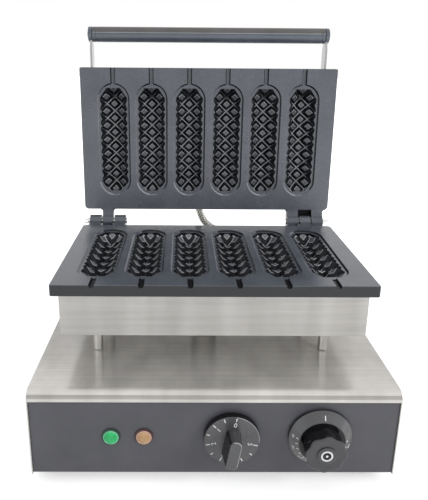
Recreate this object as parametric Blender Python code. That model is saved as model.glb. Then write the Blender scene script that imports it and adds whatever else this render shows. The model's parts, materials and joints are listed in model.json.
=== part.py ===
"""A six-slot corn dog maker for the counter, open as for loading.

A stainless base with two knobs and two lamps carries a lower cooking half on four posts. The lid, the same
cooking half turned over, swings on two hinge pins behind it and has a bar handle at its front.

Metres, +Z up. The front panel faces -Y. The origin is on the table, under the middle of the whole machine.
"""

import math

import bmesh
import bpy
from mathutils import Vector

# Clearances and overruns
GAP = 0.0003
MATING_GAP = 0.0005
OVERRUN = 0.003
RUN_CLEARANCE = 0.0003
UNION_INSET = 0.0004

# Base cover: one folded sheet, whose front edge is a quarter round
COVER_SHEET = 0.001
BASE_WIDTH = 0.342
BASE_DEPTH = 0.274
BASE_HEIGHT = 0.0888
COVER_BEND_RADIUS = 0.0097

# Front, rear and bottom panels
PANEL_SHEET = 0.0015
PANEL_FLANGE = 0.012
REAR_SHEET = 0.0012
BOTTOM_SHEET = 0.0012
VENT_LENGTH = 0.026
VENT_WIDTH = 0.0035
VENT_PITCH = 0.011
VENT_COUNT = 6
VENT_INSET = 0.096
REAR_VENT_DROP = 0.0388

# Feet
FOOT_HEIGHT = 0.012
FOOT_RADIUS = 0.011
FOOT_TREAD_RADIUS = 0.0098
FOOT_CHAMFER = 0.0009
FOOT_INSET = 0.027

# Rear screws
SCREW_HEAD_RADIUS = 0.0034
SCREW_HEAD_HEIGHT = 0.0021
SCREW_SHANK_RADIUS = 0.0016
SCREW_SHANK_LENGTH = 0.006
SCREW_CROWN_SHARE = 0.6
REAR_SCREW_INSET = 0.015
REAR_SCREW_DROP = 0.0143

# Lamps
GREEN_LAMP_X = -0.0953
AMBER_LAMP_X = -0.0648
LAMP_RISE = 0.0021
LENS_RADIUS = 0.0082
LENS_RIM_RADIUS = 0.0090
LENS_RIM_HEIGHT = 0.0011
LENS_HEIGHT = 0.0034
LENS_CROWN_SHARES = ((0.92, 0.75), (0.60, 0.97))
LAMP_NECK_RADIUS = 0.0062
LAMP_BODY_RADIUS = 0.0078
LAMP_BODY_LENGTH = 0.03

# Timer
TIMER_X = 0.0163
TIMER_REST_ANGLE = math.radians(9.4)
DIAL_RADIUS = 0.0256
DIAL_FACE = 0.0056
DIAL_CHAMFER = 0.0009
GRIP_REACH = 0.026
GRIP_ROOT_WIDTH = 0.0150
GRIP_ROOT_LENGTH = 0.0375
GRIP_FACE_WIDTH = 0.0105
GRIP_FACE_LENGTH = 0.0285
GRIP_CORNER_SHARES = (0.30, 0.45)
TIMER_BODY_WIDTH = 0.046
TIMER_BODY_HEIGHT = 0.050
TIMER_BODY_DEPTH = 0.040

# Thermostat
THERMOSTAT_X = 0.0985
THERMOSTAT_REST_ANGLE = math.radians(4)
SKIRT_RADIUS = 0.0296
SKIRT_FRONT_RADIUS = 0.0216
SKIRT_EDGE = 0.0029
SKIRT_FRONT = 0.0092
COLLAR_RADIUS = 0.0170
LOBE_START = 0.0122
LOBE_REACH = 0.0246
LOBE_RADIUS = 0.0190
LOBE_DEPTH = 0.0014
LOBE_COUNT = 8
LOBE_SIDES = 4
LOBE_CHAMFER = 0.0012
CAP_RADIUS = 0.0086
CAP_HEIGHT = 0.0011
THERMOSTAT_BODY_RADIUS = 0.019
THERMOSTAT_BODY_DEPTH = 0.034

# Knob shafts, in a blind bore at each end
KNOB_RISE = 0.0031
SHAFT_RADIUS = 0.003
SHAFT_IN_KNOB = 0.011
SHAFT_IN_BODY = 0.009
SHAFT_HOLE_RADIUS = 0.0045

# Supports between the base and the lower heater housing
POST_RADIUS = 0.0048
POST_SIDE_INSET = 0.0295
POST_FRONT_INSET = 0.0364
POST_REAR_INSET = 0.0176
CONDUIT_X = -0.006
CONDUIT_RADIUS = 0.014
CONDUIT_WALL = 0.0015

# Terminal block and mains gland
TERMINAL_WIDTH = 0.062
TERMINAL_DEPTH = 0.022
TERMINAL_HEIGHT = 0.018
TERMINAL_INSET = 0.0827
MAINS_INSET = 0.053
MAINS_Z = 0.036
MAINS_NUT_RADIUS = 0.0125
MAINS_NUT_HEIGHT = 0.0045
MAINS_DOME_RADIUS = 0.0095
MAINS_REACH = 0.0150
MAINS_THREAD_RADIUS = 0.0080
MAINS_THREAD_LENGTH = 0.010
MAINS_BORE_RADIUS = 0.0042
MAINS_DOME_SHARES = ((0.92, 0.80), (0.70, 1))

# Hinge: its axis lies in the mating plane, behind the plates
HINGE_Y = 0.2116
HINGE_Z = 0.1820
HINGE_REACH = 0.0150
HINGE_INSET = 0.0286
BARREL_RADIUS = 0.00675
FORK_WIDTH = 0.0440
EAR_WIDTH = 0.0137
LUG_WIDTH = 0.0130
EAR_ROOT = 0.004
LUG_FILLET = 0.0042
PIN_RADIUS = 0.00315
PIN_REACH = 0.0086
PIN_TAIL = 0.0016
PIN_DOME = 0.0016
PIN_DOME_SHARES = (0.7, 0.3)
OPEN_ANGLE = math.radians(91.2)

# Cooking plate, a casting with a thick block inside its housing
PLATE_SIDE_INSET = 0.020
PLATE_DEPTH = 0.171
PLATE_THICKNESS = 0.0112
PLATE_REAR_CORNER = 0.005
PLATE_FRONT_CORNER = 0.002
BLOCK_CLEARANCE = 0.0025
BLOCK_BOTTOM = 0.0190

# Troughs: a shallow rim round a waffled hollow whose ends are cut across their corners
TROUGH_COUNT = 6
TROUGH_SIDE_MARGIN = 0.02035
TROUGH_END_MARGIN = 0.01855
TROUGH_LAND = 0.0087
RIM_DEPTH = 0.0017
LEDGE_WIDTH = 0.00135
LEDGE_LENGTH = 0.00445
TROUGH_CORNER_WIDTH = 0.0072
TROUGH_CORNER_LENGTH = 0.0125
RIDGE_DEPTH = 0.0112
RIM_RIDGE_DEPTH = 0.0021
POCKET_DEPTH = 0.0029
DIAMOND_WIDTH = 0.0180
DIAMOND_LENGTH = 0.0172
POCKET_FLOOR_SHARE = 0.5
SLOT_WIDTH = 0.0046
SLOT_DEPTH = 0.0021

# Heater housing
HOUSING_SHEET = 0.0012
PLATE_OVERHANG = 0.0110
PLATE_SIDE_OVERHANG = 0.0055
HOUSING_HEIGHT = 0.0455

# Heater, its clamp and the insulation, from the block downwards
HEATER_RADIUS = 0.0035
HEATER_END_INSET = 0.0195
HEATER_SIDE_INSET = 0.0205
HEATER_ROWS = 3
HEATER_CORE_X = 0.040
HEATER_LEAD_X = 0.022
CLAMP_X = 0.062
CLAMP_WIDTH = 0.016
CLAMP_SHEET = 0.003
CLAMP_OVERLAP = 0.006
INSULATION_CLEARANCE = 0.0008
WIRE_ROOM = 0.0045

# Handle, on the front wall of the lid's housing
HANDLE_REACH = 0.0377
HANDLE_DROP = 0.0200
HANDLE_RADIUS = 0.00885
HANDLE_INSET = 0.0037
HANDLE_CHAMFER = 0.0008
END_CAP_SHEET = 0.0016
END_SCREW_RADIUS = 0.0042
END_SCREW_HEIGHT = 0.0012
END_SCREW_TOP_SHARE = 0.7
ARM_SHEET = 0.0025
ARM_WIDTH = 0.0150
ARM_FOOT = 0.020
ARM_SCREW_SPREAD = 0.009

# Armoured lead between the two heater housings
LEAD_RADIUS = 0.0048
GLAND_NUT_RADIUS = 0.0085
GLAND_DOME_RADIUS = 0.0068
GLAND_NUT_HEIGHT = 0.0045
GLAND_DOME_SHARES = ((1, 0.85), (0.90, 1))
LOWER_GLAND_HEIGHT = 0.0120
UPPER_GLAND_HEIGHT = 0.0100
LOWER_GLAND_X = 0.058
LOWER_GLAND_Z = 0.148
UPPER_GLAND_X = -0.0092
UPPER_GLAND_DROP = 0.0246
LEAD_STRAIGHT = 0.0050
LEAD_ROUTE = [
    (-0.0078, 0.2368, 0.1878),
    (-0.0063, 0.2376, 0.1827),
    (-0.0040, 0.2389, 0.1775),
    (-0.0002, 0.2409, 0.1714),
    (0.0049, 0.2430, 0.1659),
    (0.0130, 0.2446, 0.1602),
    (0.0226, 0.2442, 0.1556),
    (0.0329, 0.2407, 0.1523),
    (0.0424, 0.2343, 0.1501),
    (0.0502, 0.2254, 0.1488),
    (0.0553, 0.2150, 0.1482),
]

# Wires and the thermostat's capillary with its bulb
WIRE_RADIUS = 0.0015
WIRE_SPREAD = 0.0045
CAPILLARY_RADIUS = 0.0010
BULB_RADIUS = 0.0030
BULB_LENGTH = 0.068
BULB_START_X = 0.014

# Round pieces: how many sides
ROUND_SIDES = 32
SMALL_SIDES = 20
SCREW_SIDES = 12
ARC_STEPS = 6
SHARP_ANGLE = math.radians(35)

# Places that follow from the sizes above. Base places run from the panel's face and the base's underside.
COVER_FRONT = -(COVER_SHEET + GAP)
COVER_REAR = COVER_FRONT + BASE_DEPTH
INNER_WIDTH = BASE_WIDTH - 2 * COVER_SHEET
PANEL_WIDTH = INNER_WIDTH - 2 * GAP
FLOOR_Z = PANEL_SHEET + GAP
LIP_BOTTOM = BASE_HEIGHT - COVER_BEND_RADIUS
PANEL_MIDDLE_Z = (LIP_BOTTOM - GAP) / 2
LAMP_Z = PANEL_MIDDLE_Z + LAMP_RISE
KNOB_Z = PANEL_MIDDLE_Z + KNOB_RISE
KNOB_BACK = COVER_SHEET + 2 * GAP
VENT_X = BASE_WIDTH / 2 - VENT_INSET
REAR_VENT_Z = BASE_HEIGHT - REAR_VENT_DROP
REAR_SCREW_X = BASE_WIDTH / 2 - REAR_SCREW_INSET
REAR_SCREW_Z = BASE_HEIGHT - REAR_SCREW_DROP
MAINS_X = BASE_WIDTH / 2 - MAINS_INSET
TERMINAL_Y = COVER_REAR - TERMINAL_INSET
FRONT_REACH = GRIP_REACH
REAR_REACH = COVER_REAR + MAINS_REACH
PANEL_FACE_Y = (FRONT_REACH - REAR_REACH) / 2

# Places in a cooking half, whose frame has its origin on the hinge axis and its plate's face up
PLATE_WIDTH = BASE_WIDTH - 2 * PLATE_SIDE_INSET
PLATE_FACE = -MATING_GAP / 2
PLATE_REAR = -HINGE_REACH
PLATE_FRONT = PLATE_REAR - PLATE_DEPTH
PLATE_MIDDLE = (PLATE_REAR + PLATE_FRONT) / 2
HOUSING_TOP = PLATE_FACE - PLATE_THICKNESS - GAP
HOUSING_BOTTOM = HOUSING_TOP - HOUSING_HEIGHT
HOUSING_REAR = PLATE_REAR - PLATE_OVERHANG
HOUSING_FRONT = PLATE_FRONT + PLATE_OVERHANG
HOUSING_WIDTH = PLATE_WIDTH - 2 * PLATE_SIDE_OVERHANG
HOUSING_DEPTH = HOUSING_REAR - HOUSING_FRONT
HINGE_X = PLATE_WIDTH / 2 - HINGE_INSET
TROUGH_PITCH = (PLATE_WIDTH - 2 * TROUGH_SIDE_MARGIN + TROUGH_LAND) / TROUGH_COUNT
RIM_WIDTH = TROUGH_PITCH - TROUGH_LAND
RIM_LENGTH = PLATE_DEPTH - 2 * TROUGH_END_MARGIN
TROUGH_WIDTH = RIM_WIDTH - 2 * LEDGE_WIDTH
TROUGH_LENGTH = RIM_LENGTH - 2 * LEDGE_LENGTH
BLOCK_FACE = -BLOCK_BOTTOM
HEATER_ROW = (HOUSING_DEPTH / 2 - HEATER_SIDE_INSET) / HEATER_ROWS
HEATER_END_X = HOUSING_WIDTH / 2 - HEATER_ROW - HEATER_END_INSET
HEATER_Z = BLOCK_FACE - GAP - HEATER_RADIUS
CLAMP_TOP = HEATER_Z - HEATER_RADIUS - GAP
INSULATION_TOP = CLAMP_TOP - CLAMP_SHEET - WIRE_ROOM
INSULATION_BOTTOM = HOUSING_BOTTOM + HOUSING_SHEET + GAP
CONDUIT_Y = HINGE_Y + PLATE_MIDDLE
HOUSING_BOTTOM_Z = HINGE_Z + HOUSING_BOTTOM
POST_X = HOUSING_WIDTH / 2 - POST_SIDE_INSET
FRONT_POST_Y = HINGE_Y + HOUSING_FRONT + POST_FRONT_INSET
REAR_POST_Y = HINGE_Y + HOUSING_REAR - POST_REAR_INSET
HANDLE_Y = HANDLE_REACH - PLATE_FRONT
HANDLE_LENGTH = HOUSING_WIDTH - 2 * HANDLE_INSET


# Scene and materials


def clear_scene():
    for obj in list(bpy.data.objects):
        bpy.data.objects.remove(obj, do_unlink=True)


def make_material(name, colour, roughness, metallic):
    material = bpy.data.materials.new(name)
    material.use_nodes = True
    shader = material.node_tree.nodes["Principled BSDF"]
    shader.inputs["Base Color"].default_value = (*colour, 1)
    shader.inputs["Roughness"].default_value = roughness
    shader.inputs["Metallic"].default_value = metallic
    material.diffuse_color = (*colour, 1)
    return material


def make_materials():
    table = {
        "stainless": ((0.55, 0.53, 0.50), 0.32, 1.0),
        "panel": ((0.080, 0.080, 0.090), 0.45, 0.0),
        "plate": ((0.085, 0.095, 0.105), 0.38, 0.2),
        "knob": ((0.055, 0.055, 0.058), 0.42, 0.0),
        "handle": ((0.085, 0.090, 0.100), 0.40, 0.0),
        "green_lens": ((0.02, 0.42, 0.16), 0.25, 0.0),
        "amber_lens": ((0.62, 0.30, 0.14), 0.25, 0.0),
        "chrome": ((0.72, 0.72, 0.72), 0.12, 1.0),
        "rubber": ((0.025, 0.025, 0.025), 0.80, 0.0),
        "black_plastic": ((0.03, 0.03, 0.03), 0.50, 0.0),
        "plated_steel": ((0.60, 0.60, 0.58), 0.35, 1.0),
        "braid": ((0.50, 0.49, 0.46), 0.42, 1.0),
        "heater": ((0.22, 0.20, 0.19), 0.45, 1.0),
        "insulation": ((0.80, 0.79, 0.76), 0.95, 0.0),
        "ceramic": ((0.82, 0.80, 0.74), 0.55, 0.0),
        "copper": ((0.60, 0.32, 0.18), 0.35, 1.0),
        "wire": ((0.55, 0.08, 0.05), 0.55, 0.0),
    }
    return {name: make_material(name, *values) for name, values in table.items()}


def make_frame(name, place, turn=(0, 0, 0), parent=None):
    frame = bpy.data.objects.new(name, None)
    bpy.context.collection.objects.link(frame)
    frame.location = place
    frame.rotation_euler = turn
    frame.parent = parent
    return frame


# Outlines


def arc(centre, radius, start, end, steps=ARC_STEPS):
    points = []
    for step in range(steps + 1):
        angle = math.radians(start + (end - start) * step / steps)
        points.append((centre[0] + radius * math.cos(angle), centre[1] + radius * math.sin(angle)))
    return points


def rectangle(low, high):
    return [(low[0], low[1]), (high[0], low[1]), (high[0], high[1]), (low[0], high[1])]


def rounded_rectangle(low, high, low_radius, high_radius, steps=ARC_STEPS):
    """Corner radii are given for the low end and the high end of the second coordinate."""
    corners = [
        ((low[0] + low_radius, low[1] + low_radius), low_radius, 180),
        ((high[0] - low_radius, low[1] + low_radius), low_radius, 270),
        ((high[0] - high_radius, high[1] - high_radius), high_radius, 0),
        ((low[0] + high_radius, high[1] - high_radius), high_radius, 90),
    ]
    points = []
    for centre, radius, start in corners:
        points += arc(centre, radius, start, start + 90, steps)
    return points


def stadium(centre, width, length):
    radius, straight = width / 2, (length - width) / 2
    far = arc((centre[0], centre[1] + straight), radius, 0, 180, 2 * ARC_STEPS)
    return far + arc((centre[0], centre[1] - straight), radius, 180, 360, 2 * ARC_STEPS)


def circle(radius, sides, centre=(0, 0)):
    turns = [2 * math.pi * side / sides for side in range(sides)]
    return [(centre[0] + radius * math.cos(t), centre[1] + radius * math.sin(t)) for t in turns]


# Meshes


def place_point(axis, along, first, second):
    if axis == "X":
        return (along, first, second)
    if axis == "Y":
        return (first, along, second)
    return (first, second, along)


def bridge_rings(bm, lower, upper):
    count = max(len(lower), len(upper))
    for side in range(count):
        after = (side + 1) % count
        if len(lower) == 1:
            bm.faces.new((lower[0], upper[side], upper[after]))
        elif len(upper) == 1:
            bm.faces.new((lower[side], lower[after], upper[0]))
        else:
            bm.faces.new((lower[side], lower[after], upper[after], upper[side]))


def add_loft(bm, loops, ring_shaped=False):
    """Skins closed loops of points in turn, capped at both ends unless the last loop meets the first."""
    rings = [[bm.verts.new(point) for point in loop] for loop in loops]
    for lower, upper in zip(rings, rings[1:]):
        bridge_rings(bm, lower, upper)
    if ring_shaped:
        bridge_rings(bm, rings[-1], rings[0])
        return
    for ring in (rings[0], rings[-1]):
        if len(ring) > 1:
            bm.faces.new(ring)


def add_prism(bm, outline, axis, low, high):
    add_loft(bm, [[place_point(axis, along, *point) for point in outline] for along in (low, high)])


def finish_mesh(bm, name, smooth=False):
    bmesh.ops.recalc_face_normals(bm, faces=bm.faces)
    mesh = bpy.data.meshes.new(name)
    bm.to_mesh(mesh)
    bm.free()
    if smooth:
        mesh.shade_smooth()
        mesh.set_sharp_from_angle(angle=SHARP_ANGLE)
    return mesh


def loft_mesh(name, loops, smooth=True):
    bm = bmesh.new()
    add_loft(bm, loops)
    return finish_mesh(bm, name, smooth)


def prism_mesh(name, outline, axis, low, high, smooth=False):
    bm = bmesh.new()
    add_prism(bm, outline, axis, low, high)
    return finish_mesh(bm, name, smooth)


def box_mesh(name, low, high):
    return prism_mesh(name, rectangle(low[:2], high[:2]), "Z", low[2], high[2])


def turned_mesh(name, profile, sides=ROUND_SIDES, ring_shaped=False):
    """The profile's (radius, height) points, turned about the local Z axis."""
    loops = []
    for radius, height in profile:
        if radius == 0:
            loops.append([(0, 0, height)])
        else:
            loops.append([(x, y, height) for x, y in circle(radius, sides)])
    bm = bmesh.new()
    add_loft(bm, loops, ring_shaped)
    return finish_mesh(bm, name, smooth=True)


# Objects


def add_object(name, mesh, material, place=(0, 0, 0), turn=(0, 0, 0), parent=None):
    if not mesh.materials:
        mesh.materials.append(material)
    obj = bpy.data.objects.new(name, mesh)
    bpy.context.collection.objects.link(obj)
    obj.location = place
    obj.rotation_euler = turn
    obj.parent = parent
    return obj


def combine(target, mesh, operation, place=(0, 0, 0), turn=(0, 0, 0)):
    """Cuts the mesh out of the target, or joins it on; both lie in the target's own frame."""
    tool = bpy.data.objects.new(mesh.name, mesh)
    bpy.context.collection.objects.link(tool)
    tool.parent = target
    tool.location = place
    tool.rotation_euler = turn
    tool.hide_render = True
    tool.display_type = "WIRE"
    modifier = target.modifiers.new(mesh.name, "BOOLEAN")
    modifier.operation = operation
    modifier.solver = "EXACT"
    modifier.object = tool


def cut(target, mesh, place=(0, 0, 0), turn=(0, 0, 0)):
    combine(target, mesh, "DIFFERENCE", place, turn)


def join(target, mesh, place=(0, 0, 0), turn=(0, 0, 0)):
    combine(target, mesh, "UNION", place, turn)


def drill(target, name, radius, axis, low, high, centre, sides=SMALL_SIDES):
    """A round hole from low to high along an axis, through the centre given in the other two."""
    cut(target, prism_mesh(name, circle(radius, sides, centre), axis, low, high))


def smooth_route(route, steps):
    """Points on a curve through the route's own points, whose first and last legs stay straight."""
    points = [Vector(point) for point in route]
    smooth = [points[0]]
    for before, start, end, after in zip(points, points[1:], points[2:], points[3:]):
        for step in range(steps):
            t = step / steps
            smooth.append(
                start
                + (end - before) * t / 2
                + (2 * before - 5 * start + 4 * end - after) * t**2 / 2
                + (3 * start - before - 3 * end + after) * t**3 / 2
            )
    return [*smooth, *points[-2:]]


def add_tube(name, points, radius, material, parent, resolution=2, radius_shares=None):
    curve = bpy.data.curves.new(name, "CURVE")
    curve.dimensions = "3D"
    curve.bevel_depth = radius
    curve.bevel_resolution = resolution
    curve.use_fill_caps = True
    curve.materials.append(material)
    spline = curve.splines.new("POLY")
    spline.points.add(len(points) - 1)
    for index, (spline_point, point) in enumerate(zip(spline.points, points)):
        spline_point.co = (*point, 1)
        spline_point.radius = radius_shares[index] if radius_shares else 1
    obj = bpy.data.objects.new(name, curve)
    bpy.context.collection.objects.link(obj)
    obj.parent = parent
    return obj


# Base shell


def cover_outline(inset):
    """The cover's side view, pulled in by the sheet where inset is set."""
    centre = (COVER_FRONT + COVER_BEND_RADIUS, LIP_BOTTOM)
    return arc(centre, COVER_BEND_RADIUS - inset, 180, 90)


def make_base_cover(base, materials):
    outline = [
        (COVER_FRONT, 0),
        *cover_outline(0),
        (COVER_REAR, BASE_HEIGHT),
        (COVER_REAR, 0),
    ]
    half = BASE_WIDTH / 2
    mesh = prism_mesh("base_cover", outline, "X", -half, half, smooth=True)
    cover = add_object("base_cover", mesh, materials["stainless"], parent=base)
    hollow = [
        (COVER_FRONT - OVERRUN, -OVERRUN),
        (COVER_FRONT - OVERRUN, LIP_BOTTOM),
        *cover_outline(COVER_SHEET),
        (COVER_REAR + OVERRUN, BASE_HEIGHT - COVER_SHEET),
        (COVER_REAR + OVERRUN, -OVERRUN),
    ]
    inner = INNER_WIDTH / 2
    cut(cover, prism_mesh("cutter_cover_hollow", hollow, "X", -inner, inner))
    hole = circle(CONDUIT_RADIUS - CONDUIT_WALL, SMALL_SIDES, (CONDUIT_X, CONDUIT_Y))
    low = BASE_HEIGHT - COVER_SHEET - OVERRUN
    cut(cover, prism_mesh("cutter_cover_wire_hole", hole, "Z", low, BASE_HEIGHT + OVERRUN))


def make_front_panel(base, materials):
    top = LIP_BOTTOM - GAP
    outline = [
        (0, 0),
        (0, top),
        (PANEL_FLANGE, top),
        (PANEL_FLANGE, top - PANEL_SHEET),
        (PANEL_SHEET, top - PANEL_SHEET),
        (PANEL_SHEET, PANEL_SHEET),
        (PANEL_FLANGE, PANEL_SHEET),
        (PANEL_FLANGE, 0),
    ]
    half = PANEL_WIDTH / 2
    mesh = prism_mesh("front_panel", outline, "X", -half, half)
    panel = add_object("front_panel", mesh, materials["panel"], parent=base)
    holes = [
        ("green_lamp", LAMP_NECK_RADIUS + GAP, (GREEN_LAMP_X, LAMP_Z)),
        ("amber_lamp", LAMP_NECK_RADIUS + GAP, (AMBER_LAMP_X, LAMP_Z)),
        ("timer_shaft", SHAFT_HOLE_RADIUS, (TIMER_X, KNOB_Z)),
        ("thermostat_shaft", SHAFT_HOLE_RADIUS, (THERMOSTAT_X, KNOB_Z)),
    ]
    for name, radius, centre in holes:
        drill(panel, f"cutter_{name}_hole", radius, "Y", -OVERRUN, PANEL_SHEET + OVERRUN, centre)


def vent_mesh(name, axis, low, high, height):
    """Two rows of slots, side by side about the middle, as cutters."""
    bm = bmesh.new()
    for side in (-1, 1):
        for index in range(VENT_COUNT):
            middle = side * VENT_X + (index - (VENT_COUNT - 1) / 2) * VENT_PITCH
            first = (middle - VENT_WIDTH / 2, height - VENT_LENGTH / 2)
            last = (middle + VENT_WIDTH / 2, height + VENT_LENGTH / 2)
            add_prism(bm, rectangle(first, last), axis, low, high)
    return finish_mesh(bm, name)


def make_rear_panel(base, materials):
    top = BASE_HEIGHT - COVER_SHEET - GAP
    face = COVER_REAR
    inner = face - REAR_SHEET
    outline = [
        (face, 0),
        (face, top),
        (inner, top),
        (inner, PANEL_SHEET),
        (face - PANEL_FLANGE, PANEL_SHEET),
        (face - PANEL_FLANGE, 0),
    ]
    half = PANEL_WIDTH / 2
    mesh = prism_mesh("rear_panel", outline, "X", -half, half)
    panel = add_object("rear_panel", mesh, materials["stainless"], parent=base)
    low, high = inner - OVERRUN, face + OVERRUN
    cut(panel, vent_mesh("cutter_rear_vents", "Y", low, high, REAR_VENT_Z))
    drill(panel, "cutter_mains_hole", MAINS_THREAD_RADIUS + GAP, "Y", low, high, (MAINS_X, MAINS_Z))
    for side in (-1, 1):
        centre = (side * REAR_SCREW_X, REAR_SCREW_Z)
        radius = SCREW_SHANK_RADIUS + GAP
        drill(panel, "cutter_rear_screw_hole", radius, "Y", low, high, centre, SCREW_SIDES)


def make_bottom_plate(base, materials):
    half = PANEL_WIDTH / 2
    low = (-half, PANEL_SHEET + GAP, FLOOR_Z)
    high = (half, COVER_REAR - REAR_SHEET - GAP, FLOOR_Z + BOTTOM_SHEET)
    mesh = box_mesh("bottom_plate", low, high)
    plate = add_object("bottom_plate", mesh, materials["stainless"], parent=base)
    middle = (low[1] + high[1]) / 2
    vents = vent_mesh("cutter_bottom_vents", "Z", low[2] - OVERRUN, high[2] + OVERRUN, middle)
    cut(plate, vents)


def make_feet(base, materials):
    height = FOOT_HEIGHT + PANEL_SHEET
    profile = [
        (0, 0),
        (FOOT_TREAD_RADIUS - FOOT_CHAMFER, 0),
        (FOOT_TREAD_RADIUS, FOOT_CHAMFER),
        (FOOT_RADIUS, height),
        (0, height),
    ]
    mesh = turned_mesh("foot", profile, SMALL_SIDES)
    rows = {"front": FOOT_INSET, "rear": COVER_REAR - FOOT_INSET}
    columns = {"left": -1, "right": 1}
    for row, y in rows.items():
        for column, side in columns.items():
            place = (side * (BASE_WIDTH / 2 - FOOT_INSET), y, -FOOT_HEIGHT)
            add_object(f"foot_{row}_{column}", mesh, materials["rubber"], place, parent=base)


def screw_mesh(name):
    """A pan head screw, its head's underside at zero and its shank down the local -Z axis."""
    profile = [
        (0, -SCREW_SHANK_LENGTH),
        (SCREW_SHANK_RADIUS, -SCREW_SHANK_LENGTH),
        (SCREW_SHANK_RADIUS, 0),
        (SCREW_HEAD_RADIUS, 0),
        (SCREW_HEAD_RADIUS, SCREW_HEAD_HEIGHT / 2),
        (SCREW_HEAD_RADIUS * SCREW_CROWN_SHARE, SCREW_HEAD_HEIGHT),
        (0, SCREW_HEAD_HEIGHT),
    ]
    return turned_mesh(name, profile, SCREW_SIDES)


def make_rear_screws(base, materials):
    mesh = screw_mesh("rear_screw")
    for name, side in (("left", -1), ("right", 1)):
        place = (side * REAR_SCREW_X, COVER_REAR + GAP, REAR_SCREW_Z)
        turn = (math.radians(-90), 0, 0)
        add_object(f"rear_screw_{name}", mesh, materials["plated_steel"], place, turn, base)


# Front controls. Their frames look forward: local X right, local Y up, local Z out of the panel.


def control_frame(name, x, z, turn, base):
    return make_frame(name, (x, 0, z), (math.radians(90), turn, 0), base)


def make_lamp(colour, x, base, materials):
    frame = control_frame(f"{colour}_lamp_frame", x, LAMP_Z, 0, base)
    lens = [
        (0, GAP),
        (LENS_RIM_RADIUS, GAP),
        (LENS_RIM_RADIUS, LENS_RIM_HEIGHT),
        (LENS_RADIUS, LENS_RIM_HEIGHT),
        *[(LENS_RADIUS * across, LENS_HEIGHT * up) for across, up in LENS_CROWN_SHARES],
        (0, LENS_HEIGHT),
    ]
    mesh = turned_mesh(f"{colour}_lamp_lens", lens, SMALL_SIDES)
    add_object(f"{colour}_lamp_lens", mesh, materials[f"{colour}_lens"], parent=frame)
    shoulder = -(PANEL_SHEET + GAP)
    body = [
        (0, -LAMP_BODY_LENGTH),
        (LAMP_BODY_RADIUS, -LAMP_BODY_LENGTH),
        (LAMP_BODY_RADIUS, shoulder),
        (LAMP_NECK_RADIUS, shoulder),
        (LAMP_NECK_RADIUS, 0),
        (0, 0),
    ]
    mesh = turned_mesh(f"{colour}_lamp_body", body, SMALL_SIDES)
    add_object(f"{colour}_lamp_body", mesh, materials["black_plastic"], parent=frame)


def make_shaft(name, knob_back, frame, materials):
    low = -(PANEL_SHEET + GAP + SHAFT_IN_BODY)
    high = knob_back + SHAFT_IN_KNOB
    mesh = prism_mesh(name, circle(SHAFT_RADIUS, SMALL_SIDES), "Z", low, high, smooth=True)
    add_object(name, mesh, materials["plated_steel"], parent=frame)


def bore_for_shaft(target, name, low, high):
    drill(target, name, SHAFT_RADIUS + RUN_CLEARANCE, "Z", low, high, (0, 0))


def make_timer(base, materials):
    frame = control_frame("timer_turn", TIMER_X, KNOB_Z, TIMER_REST_ANGLE, base)
    dial = [
        (0, KNOB_BACK),
        (DIAL_RADIUS, KNOB_BACK),
        (DIAL_RADIUS, DIAL_FACE - DIAL_CHAMFER),
        (DIAL_RADIUS - DIAL_CHAMFER, DIAL_FACE),
        (0, DIAL_FACE),
    ]
    knob = add_object("timer_knob", turned_mesh("timer_knob", dial), materials["knob"], parent=frame)
    loops = []
    for width, length, height in (
        (GRIP_ROOT_WIDTH, GRIP_ROOT_LENGTH, (KNOB_BACK + DIAL_FACE) / 2),
        (GRIP_FACE_WIDTH, GRIP_FACE_LENGTH, GRIP_REACH),
    ):
        corner = (width / 2, length / 2)
        radii = [width * share for share in GRIP_CORNER_SHARES]
        outline = rounded_rectangle((-corner[0], -corner[1]), corner, *radii, 4)
        loops.append([(x, y, height) for x, y in outline])
    join(knob, loft_mesh("grip_of_timer_knob", loops))
    bore_for_shaft(knob, "cutter_timer_knob_bore", -OVERRUN, KNOB_BACK + SHAFT_IN_KNOB + GAP)
    make_shaft("timer_shaft", KNOB_BACK, frame, materials)
    body_frame = control_frame("timer_body_frame", TIMER_X, KNOB_Z, 0, base)
    front = -(PANEL_SHEET + GAP)
    half = (TIMER_BODY_WIDTH / 2, TIMER_BODY_HEIGHT / 2)
    outline = rounded_rectangle((-half[0], -half[1]), half, SHAFT_RADIUS, SHAFT_RADIUS, 2)
    mesh = prism_mesh("timer_body", outline, "Z", front - TIMER_BODY_DEPTH, front)
    body = add_object("timer_body", mesh, materials["ceramic"], parent=body_frame)
    bore_for_shaft(body, "cutter_timer_body_bore", front - SHAFT_IN_BODY - GAP, front + OVERRUN)


def lobed_outline(radius, depth):
    points = []
    sides = LOBE_COUNT * LOBE_SIDES
    for side in range(sides):
        angle = 2 * math.pi * side / sides
        reach = radius - depth * (1 - math.cos(LOBE_COUNT * angle)) / 2
        points.append((reach * math.cos(angle), reach * math.sin(angle)))
    return points


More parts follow.
